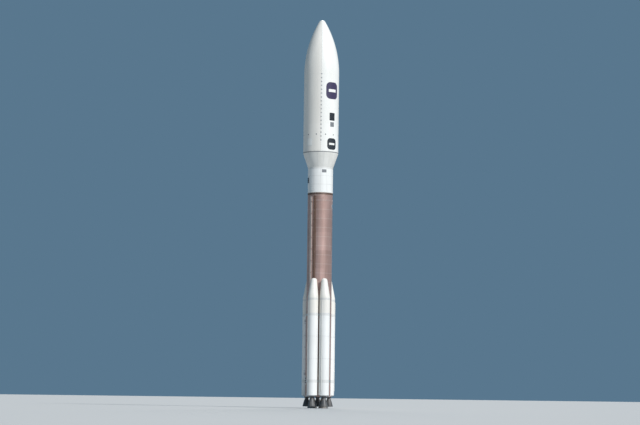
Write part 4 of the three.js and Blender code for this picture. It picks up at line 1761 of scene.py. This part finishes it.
@dataclass
class MainEngine(Assembly):
    """Two thrust chambers in their gimbal rings, their boots, and the heat shield that they pass through."""

    spacing: float = 0.4225
    gimbal_height: float = 0.75
    head_drop: float = 0.1
    head_radius: float = 0.11
    throat_height: float = 0.1
    exit_height: float = -0.85
    throat_radius: float = 0.075
    exit_radius: float = 0.3625
    bulge: float = 0.65
    wall: float = 0.012
    bell_steps: int = 22
    manifold_height: float = -0.11
    band_heights: Row = (-0.225, -0.46, -0.785)
    band_half: float = 0.018
    band_face: float = 0.012
    band_depth: float = 0.011
    pipe_radius: float = 0.016
    yoke_reach: float = 0.216
    yoke_wall: float = 0.03
    boot_sphere: float = 0.7
    boot_edge: float = 36
    boot_pleats: int = 17
    boot_pleat_depth: float = 0.006
    boot_cloth: float = 0.004
    hole_radius: float = 0.3
    sleeve_gap: float = 0.006
    shield_straps: Row = (0, 25, -25, 155, 180, -155)

    def build(self) -> None:
        """Builds one chamber and one boot, copies them to both sides, and dresses the shield."""
        chamber, boot = self._chamber(), self._boot()
        for place, side in (("left", -1), ("right", 1)):
            stand, body = sideways(side * self.spacing), f"chamber_{place}"
            bell, cover = self.bench.copy(chamber, stand), self.bench.copy(boot, stand)
            self.hand_over(bell, f"main_nozzle_{place}", Look.BELL, body, [f"thrust_chamber_{place}"])
            self.hand_over(cover, f"boot_{place}", Look.BLANKET, body, [f"nozzle_boot_{place}"])
        for model in (chamber, boot):
            self.bench.discard(model)
        self._shield_trim()

    def _bell_radius(self, height: float) -> float:
        """The bell's outer radius.

        Args:
            height: where.

        Returns:
            The radius.
        """
        share = (self.throat_height - height) / (self.throat_height - self.exit_height)
        growth = (1 + self.bulge) * share - self.bulge * share**2
        return self.throat_radius + (self.exit_radius - self.throat_radius) * growth

    def _bell(self, head: float) -> Piece:
        """The chamber and bell, with its hat bands, sooted inside.

        Args:
            head: the height of the chamber's top.

        Returns:
            The piece.
        """
        drop = (self.exit_height - self.throat_height) / self.bell_steps
        heights = [self.throat_height + drop * i for i in range(self.bell_steps + 1)]
        outer: Profile = [(self._bell_radius(height), height) for height in heights]
        half, face = self.band_half, self.band_face
        for middle in self.band_heights:
            outer = [point for point in outer if abs(point[1] - middle) > half + 0.004]
            skin = self._bell_radius(middle)
            edge = skin + self.band_depth
            outer += [(skin, middle + half), (edge, middle + face)]
            outer += [(edge, middle - face), (skin, middle - half)]
        outer.sort(key=lambda point: -point[1])
        inner = [(self._bell_radius(height) - self.wall, height) for height in reversed(heights)]
        bell = self.bench.turned([
            (0, head), (self.head_radius - 0.01, head), (self.head_radius, head - 0.01),
            (self.head_radius, self.throat_height + 0.24), *outer, *inner, (0, self.throat_height),
        ])
        is_inner, is_above = faces_axis(), above(self.throat_height)
        self.dress(bell, Look.BELL)
        return self.dress(bell, Look.SOOT, lambda face: is_inner(face) and not is_above(face))

    def _chamber(self) -> Piece:
        """The chamber with its bell, its rings of pipe, and the yoke that hangs in the gimbal ring.

        Returns:
            The piece.
        """
        bench, gimbal, reach = self.bench, self.gimbal_height, self.yoke_reach
        head = gimbal - self.head_drop
        bell = self._bell(head)
        manifold = self._ring(self._bell_radius(self.manifold_height) + 0.01, self.manifold_height)
        collar = self._ring(self.head_radius + 0.005, head - 0.06)
        parts = [bench.block(0.045, (-reach, reach), (head - 0.05, head), 0.006)]
        for low, high in ((-reach, self.yoke_wall - reach), (reach - self.yoke_wall, reach)):
            parts.append(bench.block(0.04, (-high, -low), (head - 0.02, gimbal - 0.03), 0.004))
            eye = bench.turned(hoop(0.022, 0.045, low, high), SMALL_SIDES)
            parts.append(bench.moved(eye, raised(gimbal) @ Matrix.Rotation(-math.pi / 2, 4, "X")))
        hanger = self.dress(bench.joined(parts), Look.BARE)
        rings = self.dress(bench.joined([manifold, collar]), Look.BARE)
        return bench.joined([bell, rings, hanger])

    def _ring(self, radius: float, height: float) -> Piece:
        """A round ring of pipe about the chamber's axis.

        Args:
            radius: the ring's radius.
            height: where it is.

        Returns:
            The piece.
        """
        self.bench.clear()
        bpy.ops.mesh.primitive_torus_add(
            major_radius=radius, minor_radius=self.pipe_radius, major_segments=48, minor_segments=20,
            location=(0, 0, height),
        )
        return self.bench.made()

    def _boot(self) -> Piece:
        """A dished boot in pleats, centred on the gimbal, that closes the hole as the chamber swings.

        Returns:
            The piece.
        """
        gimbal, folds = self.gimbal_height, 2 * self.boot_pleats
        edge = math.radians(self.boot_edge)
        neck = math.asin((self._bell_radius(0.05) + 0.003) / self.boot_sphere)
        outer: Profile = []
        for i in range(folds + 1):
            angle = neck + (edge - neck) * i / folds
            reach = self.boot_sphere - (self.boot_pleat_depth if i % 2 else 0)
            outer.append((reach * math.sin(angle), gimbal - reach * math.cos(angle)))
        inner = []
        for radius, height in reversed(outer):
            shrink = 1 - self.boot_cloth / math.hypot(radius, gimbal - height)
            inner.append((radius * shrink, gimbal - (gimbal - height) * shrink))
        return self.bench.turned([*outer, *inner, outer[0]])

    def _shield_trim(self) -> None:
        """A gasket and a sleeve round each hole of the heat shield, and straps across its face.

        The boot is part of a sphere about the gimbal, so it slides over the sleeve's lip and never
        touches it.
        """
        bench, hole = self.bench, self.hole_radius
        low, high = heights_of("heat_shield")
        sides = (-self.spacing, self.spacing)
        gasket = bench.turned(hoop(hole + 0.001, hole + 0.031, -0.004, 0.002), GASKET_SIDES)
        bench.copies(gasket, [sideways(x, height) for x in sides for height in (low, high + 0.002)])
        inner, skin, lip, foot = hole + 0.003, hole + 0.009, hole + 0.014, high - 0.002
        top = self.gimbal_height - math.sqrt(self.boot_sphere**2 - inner**2) - self.sleeve_gap
        sleeve = bench.turned([
            (inner, foot), (skin, foot), (skin, top - 0.008), (lip, top - 0.008), (lip, top), (inner, top),
            (inner, foot),
        ], GASKET_SIDES)
        bench.copies(sleeve, [sideways(x) for x in sides])
        rim, face, back = Span.of("center_body").skin - 0.03, low - 0.003, low + 0.004
        edge = bench.turned(hoop(rim - 0.05, rim, face, back))
        strap = bench.block(0.02, (0.34, rim - 0.051), (face, back), 0.001)
        bench.copies(strap, turns(self.shield_straps))
        metal = self.dress(bench.joined([gasket, edge, strap]), Look.BARE)
        trim = bench.joined([metal, self.dress(sleeve, Look.BLANKET)])
        self.hand_over(trim, "heat_shield_trim", Look.BARE)


@dataclass
class UpperStage(Assembly):
    """The foam-covered upper stage, its bottles and lines, and the payload adapter with its boxes."""

    frame_depth: float = 0.015
    frame_height: float = 0.075
    pour_seams: Row = (0.3, 0.62)
    bolts: int = 72
    lines: tuple[Pair, ...] = ((20, 0.045), (-160, 0.06), (100, 0.03))
    clips: Row = (0.1, 0.35, 0.6, 0.85)
    bottle_azimuths: Row = (-60, -25, 45, 75, 135, 165, -130)
    bottle_radius: float = 0.16
    bottle_circle: float = 1.0
    bottle_rise: float = 0.3
    adapter_knee: float = 0.125
    adapter_neck: float = 0.425
    adapter_collar: float = 0.15
    adapter_ribs: int = 24
    box_azimuths: Row = (-150, -105, -62, -20, 28, 70, 110, 155)
    box_half: float = 0.15
    box_face: float = 1.02
    box_height: float = 0.24
    box_fins: int = 8
    fin_pitch: float = 0.03

    def build(self) -> None:
        """Builds the tank, the bottles, the adapter and the avionics boxes."""
        self._tank()
        self._bottles()
        self._adapter()
        self._boxes()

    def _tank(self) -> None:
        """The tank with its end frames, pour seams and three lines up its side."""
        span, bench = Span.of("upper_stage"), self.bench
        skin = span.radius - self.frame_depth
        seams = bands(map(span.at, self.pour_seams), 0.03, skin, 0.006)
        tank = bench.turned(span.framed(seams, self.frame_depth, self.frame_height))
        self.dress(tank, Look.FOAM)
        self.dress(tank, Look.BARE, outside(skin + 0.002))
        middles = [span.low + self.frame_height / 2, span.high - self.frame_height / 2]
        parts = [tank, self.dress(bench.studs(span.radius, middles, self.bolts), Look.BARE)]
        for azimuth, radius in self.lines:
            run = skin + radius + 0.01
            line = bench.rod((0, -run, span.low + 0.1), (0, -run, span.high - 0.1), radius)
            depths = (skin - SUNK, run + radius + 0.004)
            clip = bench.block(radius + 0.02, depths, (-0.02, 0.02), 0.004)
            bench.copies(clip, [raised(span.at(share)) for share in self.clips])
            line = bench.joined([self.dress(line, Look.PAD), self.dress(clip, Look.BARE)])
            parts.append(bench.moved(line, about_axis(azimuth)))
        self.hand_over(bench.joined(parts), "upper_stage_tank", Look.FOAM, replaces=["upper_stage"])

    def _bottles(self) -> None:
        """Wound pressure bottles on brackets round the stage's foot."""
        bench, circle, radius = self.bench, self.bottle_circle, self.bottle_radius
        floor = Span.of("boattail").high
        middle = floor + self.bottle_rise
        top, spot = middle + radius, (0, -circle, middle)
        bench.clear()
        bpy.ops.mesh.primitive_uv_sphere_add(segments=32, ring_count=16, radius=radius, location=spot)
        ball = bench.made()
        boss = bench.turned(disc(0.03, top - 0.01, top + 0.03), SMALL_SIDES)
        bench.moved(boss, outwards(circle))
        knee = middle - 0.08
        legs = [
            bench.rod((x * 0.12, y * 0.1 - circle, floor), (x * 0.09, y * 0.08 - circle, knee), 0.012)
            for x in (-1, 1) for y in (-1, 1)
        ]
        belt = bench.turned(hoop(radius + 0.001, radius + 0.008, -0.02, 0.02), SMALL_SIDES)
        bench.moved(belt, outwards(circle, middle))
        frame = self.dress(bench.joined([boss, belt, *legs]), Look.BARE)
        bottles = bench.joined([self.dress(ball, Look.CARBON), frame])
        self.hand_over(bench.copies(bottles, turns(self.bottle_azimuths)), "pressure_bottles", Look.CARBON)

    def _adapter(self) -> None:
        """The conical adapter, stiffened down its slope, with a bolted ring for the payload."""
        span, bench, neck = Span.of("payload_adapter"), self.bench, self.adapter_neck
        foot, knee, top = span.radius, span.low + self.adapter_knee, span.high - self.adapter_collar
        bead, flange, bore = neck + 0.012, neck + 0.008, neck - 0.035
        cone = bench.turned([
            (0, span.low), (foot, span.low), (foot, knee), (neck, top), (bead, top + 0.02),
            (bead, top + 0.06),
            (neck, top + 0.08), (neck, span.high - 0.03), (flange, span.high - 0.02), (flange, span.high),
            (bore, span.high), (bore, top), (0, top),
        ])
        length, lay = slope((foot, knee), (neck, top))
        rib = bench.block(0.008, (-SUNK, 0.012), (0.02, length - 0.02), 0.003)
        ribs = bench.copies(bench.moved(rib, lay), even_turns(self.adapter_ribs))
        bolts = bench.studs(bead, [top + 0.04], 48, 0.006)
        parts = [self.dress(cone, Look.BARE), self.dress(ribs, Look.BARE), self.dress(bolts, Look.DARK)]
        self.hand_over(bench.joined(parts), "payload_adapter_cone", Look.BARE, replaces=["payload_adapter"])

    def _boxes(self) -> None:
        """Avionics boxes on shelves round the adapter's foot, with fins on their faces."""
        span, bench, face = Span.of("payload_adapter"), self.bench, self.box_face
        low, back = span.low + 0.01, span.radius - 0.02
        case = bench.block(self.box_half, (back, face), (low, low + self.box_height), 0.012)
        depths, heights = (face - 0.02, face + 0.01), (low + 0.03, low + self.box_height - 0.03)
        fins = [
            bench.block(0.004, depths, heights, 0.001, x=self.fin_pitch * i - 0.11)
            for i in range(self.box_fins)
        ]
        shelf = bench.block(self.box_half + 0.02, (back, face + 0.03), (low - 0.02, low), 0.004)
        metal = self.dress(bench.joined([shelf, *fins]), Look.BARE)
        boxes = bench.joined([self.dress(case, Look.DARK), metal])
        self.hand_over(bench.copies(boxes, turns(self.box_azimuths)), "avionics_boxes", Look.DARK)


class Half(Enum):
    """A half of the fairing, by the side of X = 0 that it is on."""

    LEFT = -1
    RIGHT = 1

    @property
    def word(self) -> str:
        """Its word in the names of pieces."""
        return self.name.lower()

    @property
    def body(self) -> str:
        """The CAD body that carries it."""
        return f"fairing_{self.word}"


@dataclass(frozen=True)
class Mark:
    """A plain painted shape, with a bar on it or a small block below it."""

    name: str
    place: float
    size: Pair
    corner: float
    look: Look
    bar: Pair
    drop: float = 0.0


@dataclass
class PayloadFairing(Assembly):
    """The two half shells, with what is on and inside them."""

    wall: float = 0.03
    skin_inset: float = 0.004
    band_inset: float = 0.002
    band_height: float = 0.1
    ogive_length: float = 4.5
    tip_radius: float = 0.28
    ogive_steps: int = 26
    tip_steps: int = 9
    course_rings: Row = (0.55, 0.985)
    seam_half: float = 0.0025
    rail_width: float = 0.05
    cover_half: float = 0.023
    cover_gap: float = 0.004
    cover_start: float = 0.85
    cover_pitch: float = 0.3
    vent_rise: float = 1.3
    pad_rise: float = 0.12
    pad_pitch: float = 1.02
    pad_gap: float = 0.05
    pad_rows: int = 6
    pad_half_angle: float = 13.5
    doors: tuple[Door, ...] = (
        Door("access_door_front", -40, 0.72, 0.5, 0.6, Look.FAIRING, corner=0.08, body=Half.LEFT.body),
        Door("access_door_rear_left", -140, 2.2, 0.5, 0.6, Look.FAIRING, corner=0.08, body=Half.LEFT.body),
        Door("access_door_rear_right", 150, 0.72, 0.5, 0.6, Look.FAIRING, corner=0.08, body=Half.RIGHT.body),
        Door("access_door_right", 78, 3.6, 0.36, 0.36, Look.FAIRING, corner=0.08, body=Half.RIGHT.body),
    )
    mark_azimuth: float = 39
    marks: tuple[Mark, ...] = (
        Mark("mark_upper", 4.69, (1.1, 1.3), 0.34, Look.NAVY, (0.68, 0.22)),
        Mark("mark_middle", 2.68, (0.5, 0.6), 0.05, Look.INK, (0.36, 0.36), 0.6),
        Mark("mark_lower", 0.58, (0.84, 0.88), 0.26, Look.INK, (0.52, 0.15)),
    )

    def __post_init__(self) -> None:
        """Reads where the shells start and end, and their radius."""
        low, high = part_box("fairing_half_left")
        self.low, self.tip, self.radius = low.z, high.z, -low.x

    def build(self) -> None:
        """Builds both halves and what rides on them. Doors and marks have their height above the foot."""
        shell, rail = self._shell(), self._rail()
        # The left half takes the darker copy of the fairing white, partly painted shade on the side away from
        # the key light.
        for half, look in ((Half.LEFT, Look.FAIRING_CREAM), (Half.RIGHT, Look.FAIRING)):
            skin, strip = self._half(shell, half, self.seam_half), self._half(rail, half, self.seam_half)
            self.bench.cut(strip, (half.value, 0, 0), half.value * self.rail_width)
            self.hand_over(skin, f"fairing_shell_{half.word}", look, half.body, [f"fairing_half_{half.word}"])
            self.hand_over(strip, f"seam_rail_{half.word}", look, half.body)
            self._seam_covers(half)
            self._base_fittings(half)
            self._acoustic_pads(half)
        for model in (shell, rail):
            self.bench.discard(model)
        for door in self.doors:
            self.hang_door(door, self.radius - self.skin_inset - 0.001, self.low + door.place)
        self._plain_marks()

    def _nose(self, inset: float) -> Profile:
        """The ogive and its round tip, from the shoulder up.

        Args:
            inset: how far it is set in from the outer form.

        Returns:
            The profile.
        """
        arc = (self.radius**2 + self.ogive_length**2) / (2 * self.radius)
        center = arc - self.radius
        rise = math.sqrt((arc - self.tip_radius) ** 2 - center**2)
        tip_center = self.tip - self.tip_radius
        shoulder, meeting = tip_center - rise, math.atan2(rise, center)
        points: Profile = []
        for i in range(self.ogive_steps + 1):
            angle = meeting * i / self.ogive_steps
            reach = arc - inset
            points.append((reach * math.cos(angle) - center, shoulder + reach * math.sin(angle)))
        for i in range(1, self.tip_steps):
            angle = meeting + (math.pi / 2 - meeting) * i / self.tip_steps
            reach = self.tip_radius - inset
            points.append((reach * math.cos(angle), tip_center + reach * math.sin(angle)))
        return [*points, (0, self.tip - inset)]

    def _shell(self) -> Piece:
        """Both half shells in one: a thick skin with a base band and shallow rings between its courses.

        Returns:
            The piece.
        """
        skin, rim = self.radius - self.skin_inset, self.radius - self.band_inset
        base = self.low + self.band_height
        nose = self._nose(self.skin_inset)
        middles = [self.low + (nose[0][1] - self.low) * share for share in self.course_rings]
        outer = [(rim, self.low), (rim, base), (skin, base), *bands(middles, 0.03, skin, 0.0025)]
        inner = [(self.radius - self.wall, self.low), *self._nose(self.wall)]
        return self.bench.turned([*reversed(inner), *outer, *nose], SHELL_SIDES)

    def _rail(self) -> Piece:
        """A thin skin over the shells, from which the seam rails are cut.

        Returns:
            The piece.
        """
        base = self.low + self.band_height
        outer, inner = self._nose(0.0005), self._nose(self.skin_inset + 0.004)
        profile = [*reversed(inner), (inner[0][0], base), (outer[0][0], base), *outer]
        return self.bench.turned(profile, SHELL_SIDES)

    def _half(self, model: Piece, half: Half, gap: float) -> Piece:
        """One side of a piece that goes all round, cut a gap away from the parting plane."""
        return self.bench.cut(self.bench.copy(model, raised(0)), (-half.value, 0, 0), half.value * gap)

    def _around(self, half: Half, step: float, margin: float) -> list[Matrix]:
        """Turns in equal steps round one half, each a margin or more away from the seam, in degrees."""
        count = int((180 - 2 * margin) / step)
        return turns(half.value * (90 + (i - count / 2) * step) for i in range(count + 1))

    def _seam_covers(self, half: Half) -> None:
        """Small dark covers over the seam's fasteners, in a row up the front and the back.

        Args:
            half: the half that they are on.
        """
        depths, x = (self.radius - 0.012, self.radius), half.value * (self.cover_gap + self.cover_half)
        cover = self.bench.block(self.cover_half, depths, (-0.055, 0.055), 0.003, x=x)
        base = self.low + self.cover_start
        count = int((self._nose(0)[0][1] - base) / self.cover_pitch) + 1
        faces = (raised(0), Matrix.Scale(-1, 4, (0, 1, 0)))
        moves = stack(base, self.cover_pitch, count)
        self.bench.copies(cover, [move @ face for move in moves for face in faces])
        self.bench.edit_all(cover)
        self.bench.settle()
        self.hand_over(cover, f"seam_covers_{half.word}", Look.SEAL, half.body)

    def _base_fittings(self, half: Half) -> None:
        """Separation bolts round the base band, and a row of round vents above it.

        Args:
            half: the half that they are on.
        """
        bench = self.bench
        middle = self.low + self.band_height / 2
        head = bench.studs(self.radius - self.band_inset, [middle], 1, 0.014, self.band_inset)
        bolts = bench.copies(head, self._around(half, 5, 4))
        ring, hole = bench.plate(0.13, 0.13, 0.0015, 0.065), bench.plate(0.09, 0.09, 0.003, 0.045)
        vent = bench.joined([self.dress(ring, Look.WHITE_RING), self.dress(hole, Look.GREY)])
        self.on_skin(vent, self.radius - self.skin_inset, height=self.low + self.vent_rise)
        bench.copies(vent, self._around(half, 30, 14))
        fittings = bench.joined([self.dress(bolts, Look.BARE), vent])
        self.hand_over(fittings, f"base_fittings_{half.word}", Look.BARE, half.body)

    def _acoustic_pads(self, half: Half) -> None:
        """Quilted pads in courses up the inside, and the ring frames between them.

        Args:
            half: the half that they line.
        """
        bench, pitch, gap = self.bench, self.pad_pitch, self.pad_gap
        back, base = self.radius - self.wall - 0.001, self.low + self.pad_rise
        face = back - 0.025
        pad = bench.turned(hoop(face, back, 0, pitch - gap), LINING_SIDES)
        bench.sector(pad, self.pad_half_angle)
        bench.modified(pad, "BEVEL", width=0.012, segments=5, limit_method="ANGLE")
        columns = self._around(half, 29, 14)
        bench.copies(pad, [move @ turn for move in stack(base, pitch, self.pad_rows) for turn in columns])
        ring = bench.turned(hoop(face - 0.014, back, -0.012, 0.012), LINING_SIDES)
        frame = self._half(ring, half, self.seam_half + 0.004)
        bench.discard(ring)
        bench.copies(frame, stack(base - gap / 2 + pitch, pitch, self.pad_rows))
        lining = bench.joined([self.dress(pad, Look.PAD), self.dress(frame, Look.BARE)])
        self.hand_over(lining, f"acoustic_lining_{half.word}", Look.PAD, half.body)

    def _plain_marks(self) -> None:
        """Plain painted shapes, one above the other."""
        bench = self.bench
        for mark in self.marks:
            ground = self.dress(bench.plate(*mark.size, 0.0012, mark.corner), mark.look)
            bar = bench.moved(bench.plate(*mark.bar, 0.0024, 0.02), raised(-mark.drop))
            self.dress(bar, Look.GREY if mark.drop else Look.FAIRING)
            piece = bench.joined([ground, bar])
            self.on_skin(piece, self.radius - self.skin_inset, self.mark_azimuth, self.low + mark.place)
            self.hand_over(piece, mark.name, mark.look, Half.RIGHT.body)


@dataclass
class PlainNodes(Assembly):
    """CAD nodes whose shape is right as it stands, which only get their finish."""

    nodes: tuple[tuple[str, Look], ...] = (
        ("thrust_frame", Look.DARK),
        ("gimbal_ring_left", Look.BARE),
        ("gimbal_ring_right", Look.BARE),
        ("heat_shield", Look.BLANKET),
    )

    def build(self, cad: dict[str, Piece]) -> None:
        """Dresses the nodes.

        Args:
            cad: the CAD nodes by name.
        """
        for name, look in self.nodes:
            for index, slot in enumerate(cad[name].material_slots):
                slot.material = self.looks[look]
                log.info("%s: slot %d in %s", name, index, look.material)


@dataclass(frozen=True)
class Studio:
    """Floor, light and camera. The camera stands where the photograph was taken from, seen closer."""

    camera_distance: float = 152.0
    camera_height: float = 0.8
    lens: float = 112.0
    roll: float = math.radians(0.7)
    floor_size: float = 6000.0
    floor_gap: float = 0.002
    floor_color: Color = (0.45, 0.45, 0.44)
    sky_color: Color = (0.10, 0.185, 0.27)
    lamps: tuple[tuple[str, float, float, float, float], ...] = (
        ("key", 40, 39, 3.75, 9),
        ("rear", 178, 28, 1.3, 20),
    )

    def build(self, low: Vector, high: Vector) -> None:
        """Sets the stage round the object's box.

        Args:
            low: the box's lowest corner.
            high: its highest corner.
        """
        floor_height = low.z - self.floor_gap
        bpy.ops.object.select_all(action="DESELECT")
        bpy.ops.mesh.primitive_plane_add(size=self.floor_size, location=(0, 0, floor_height))
        floor = bpy.context.object
        floor.name = "floor"
        graph = Graph("floor_grey")
        graph.shade(Base_Color=self.floor_color, Roughness=0.9)
        floor.data.materials.append(graph.material)
        floor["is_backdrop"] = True
        self._sky()
        self._light()
        self._camera(floor_height, (low + high) / 2)
        bpy.context.scene.view_settings.view_transform = "Standard"

    def _sky(self) -> None:
        """An even backdrop."""
        world = bpy.data.worlds.new("studio")
        bpy.context.scene.world = world
        world.use_nodes = True
        world.node_tree.nodes["Background"].inputs["Color"].default_value = (*self.sky_color, 1)

    def _place(self, data: bpy.types.ID, facing: Quaternion) -> Piece:
        """Puts a lamp or a camera into the scene.

        Args:
            data: the lamp or the camera.
            facing: how it is turned.

        Returns:
            Its object.
        """
        holder = bpy.data.objects.new(data.name, data)
        holder.rotation_mode = "QUATERNION"
        holder.rotation_quaternion = facing
        bpy.context.collection.objects.link(holder)
        return holder

    def _light(self) -> None:
        """A sun for each lamp: its name, azimuth, elevation, strength, and how wide it looks."""
        for name, azimuth, elevation, strength, width in self.lamps:
            lamp = bpy.data.lights.new(name, "SUN")
            lamp.energy, lamp.angle = strength, math.radians(width)
            rise = Matrix.Rotation(math.radians(-elevation), 4, "X") @ Vector((0, -1, 0))
            self._place(lamp, (about_axis(azimuth) @ rise).to_track_quat("Z", "Y"))

    def _camera(self, floor_height: float, center: Vector) -> None:
        """A long lens from near the floor, aimed at the vehicle's middle.

        Args:
            floor_height: the floor's height.
            center: the middle of the object's box.
        """
        camera = bpy.data.cameras.new("camera")
        camera.lens, camera.clip_end = self.lens, self.floor_size
        eye = Vector((0, -self.camera_distance, floor_height + self.camera_height))
        aim = Vector((0, 0, center.z)) - eye
        roll = Matrix.Rotation(self.roll, 3, "Z").to_quaternion()
        holder = self._place(camera, aim.to_track_quat("-Z", "Y") @ roll)
        holder.location = eye
        bpy.context.scene.camera = holder


def main() -> None:
    """Builds the whole scene round the frame."""
    logging.basicConfig(level=logging.INFO, format="%(message)s")
    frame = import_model()
    cad_low, cad_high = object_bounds()
    bench = Bench()
    bench.clear()
    looks = make_looks()
    Studio().build(cad_low, cad_high)
    for assembly in (
        CoreStage, OutsideLines, StrapOnBoosters, AttachHardware, MainEngine, UpperStage, PayloadFairing
    ):
        assembly(bench, looks).build()
    PlainNodes(bench, looks).build(frame["nodes"])


if __name__ == "__main__":
    main()
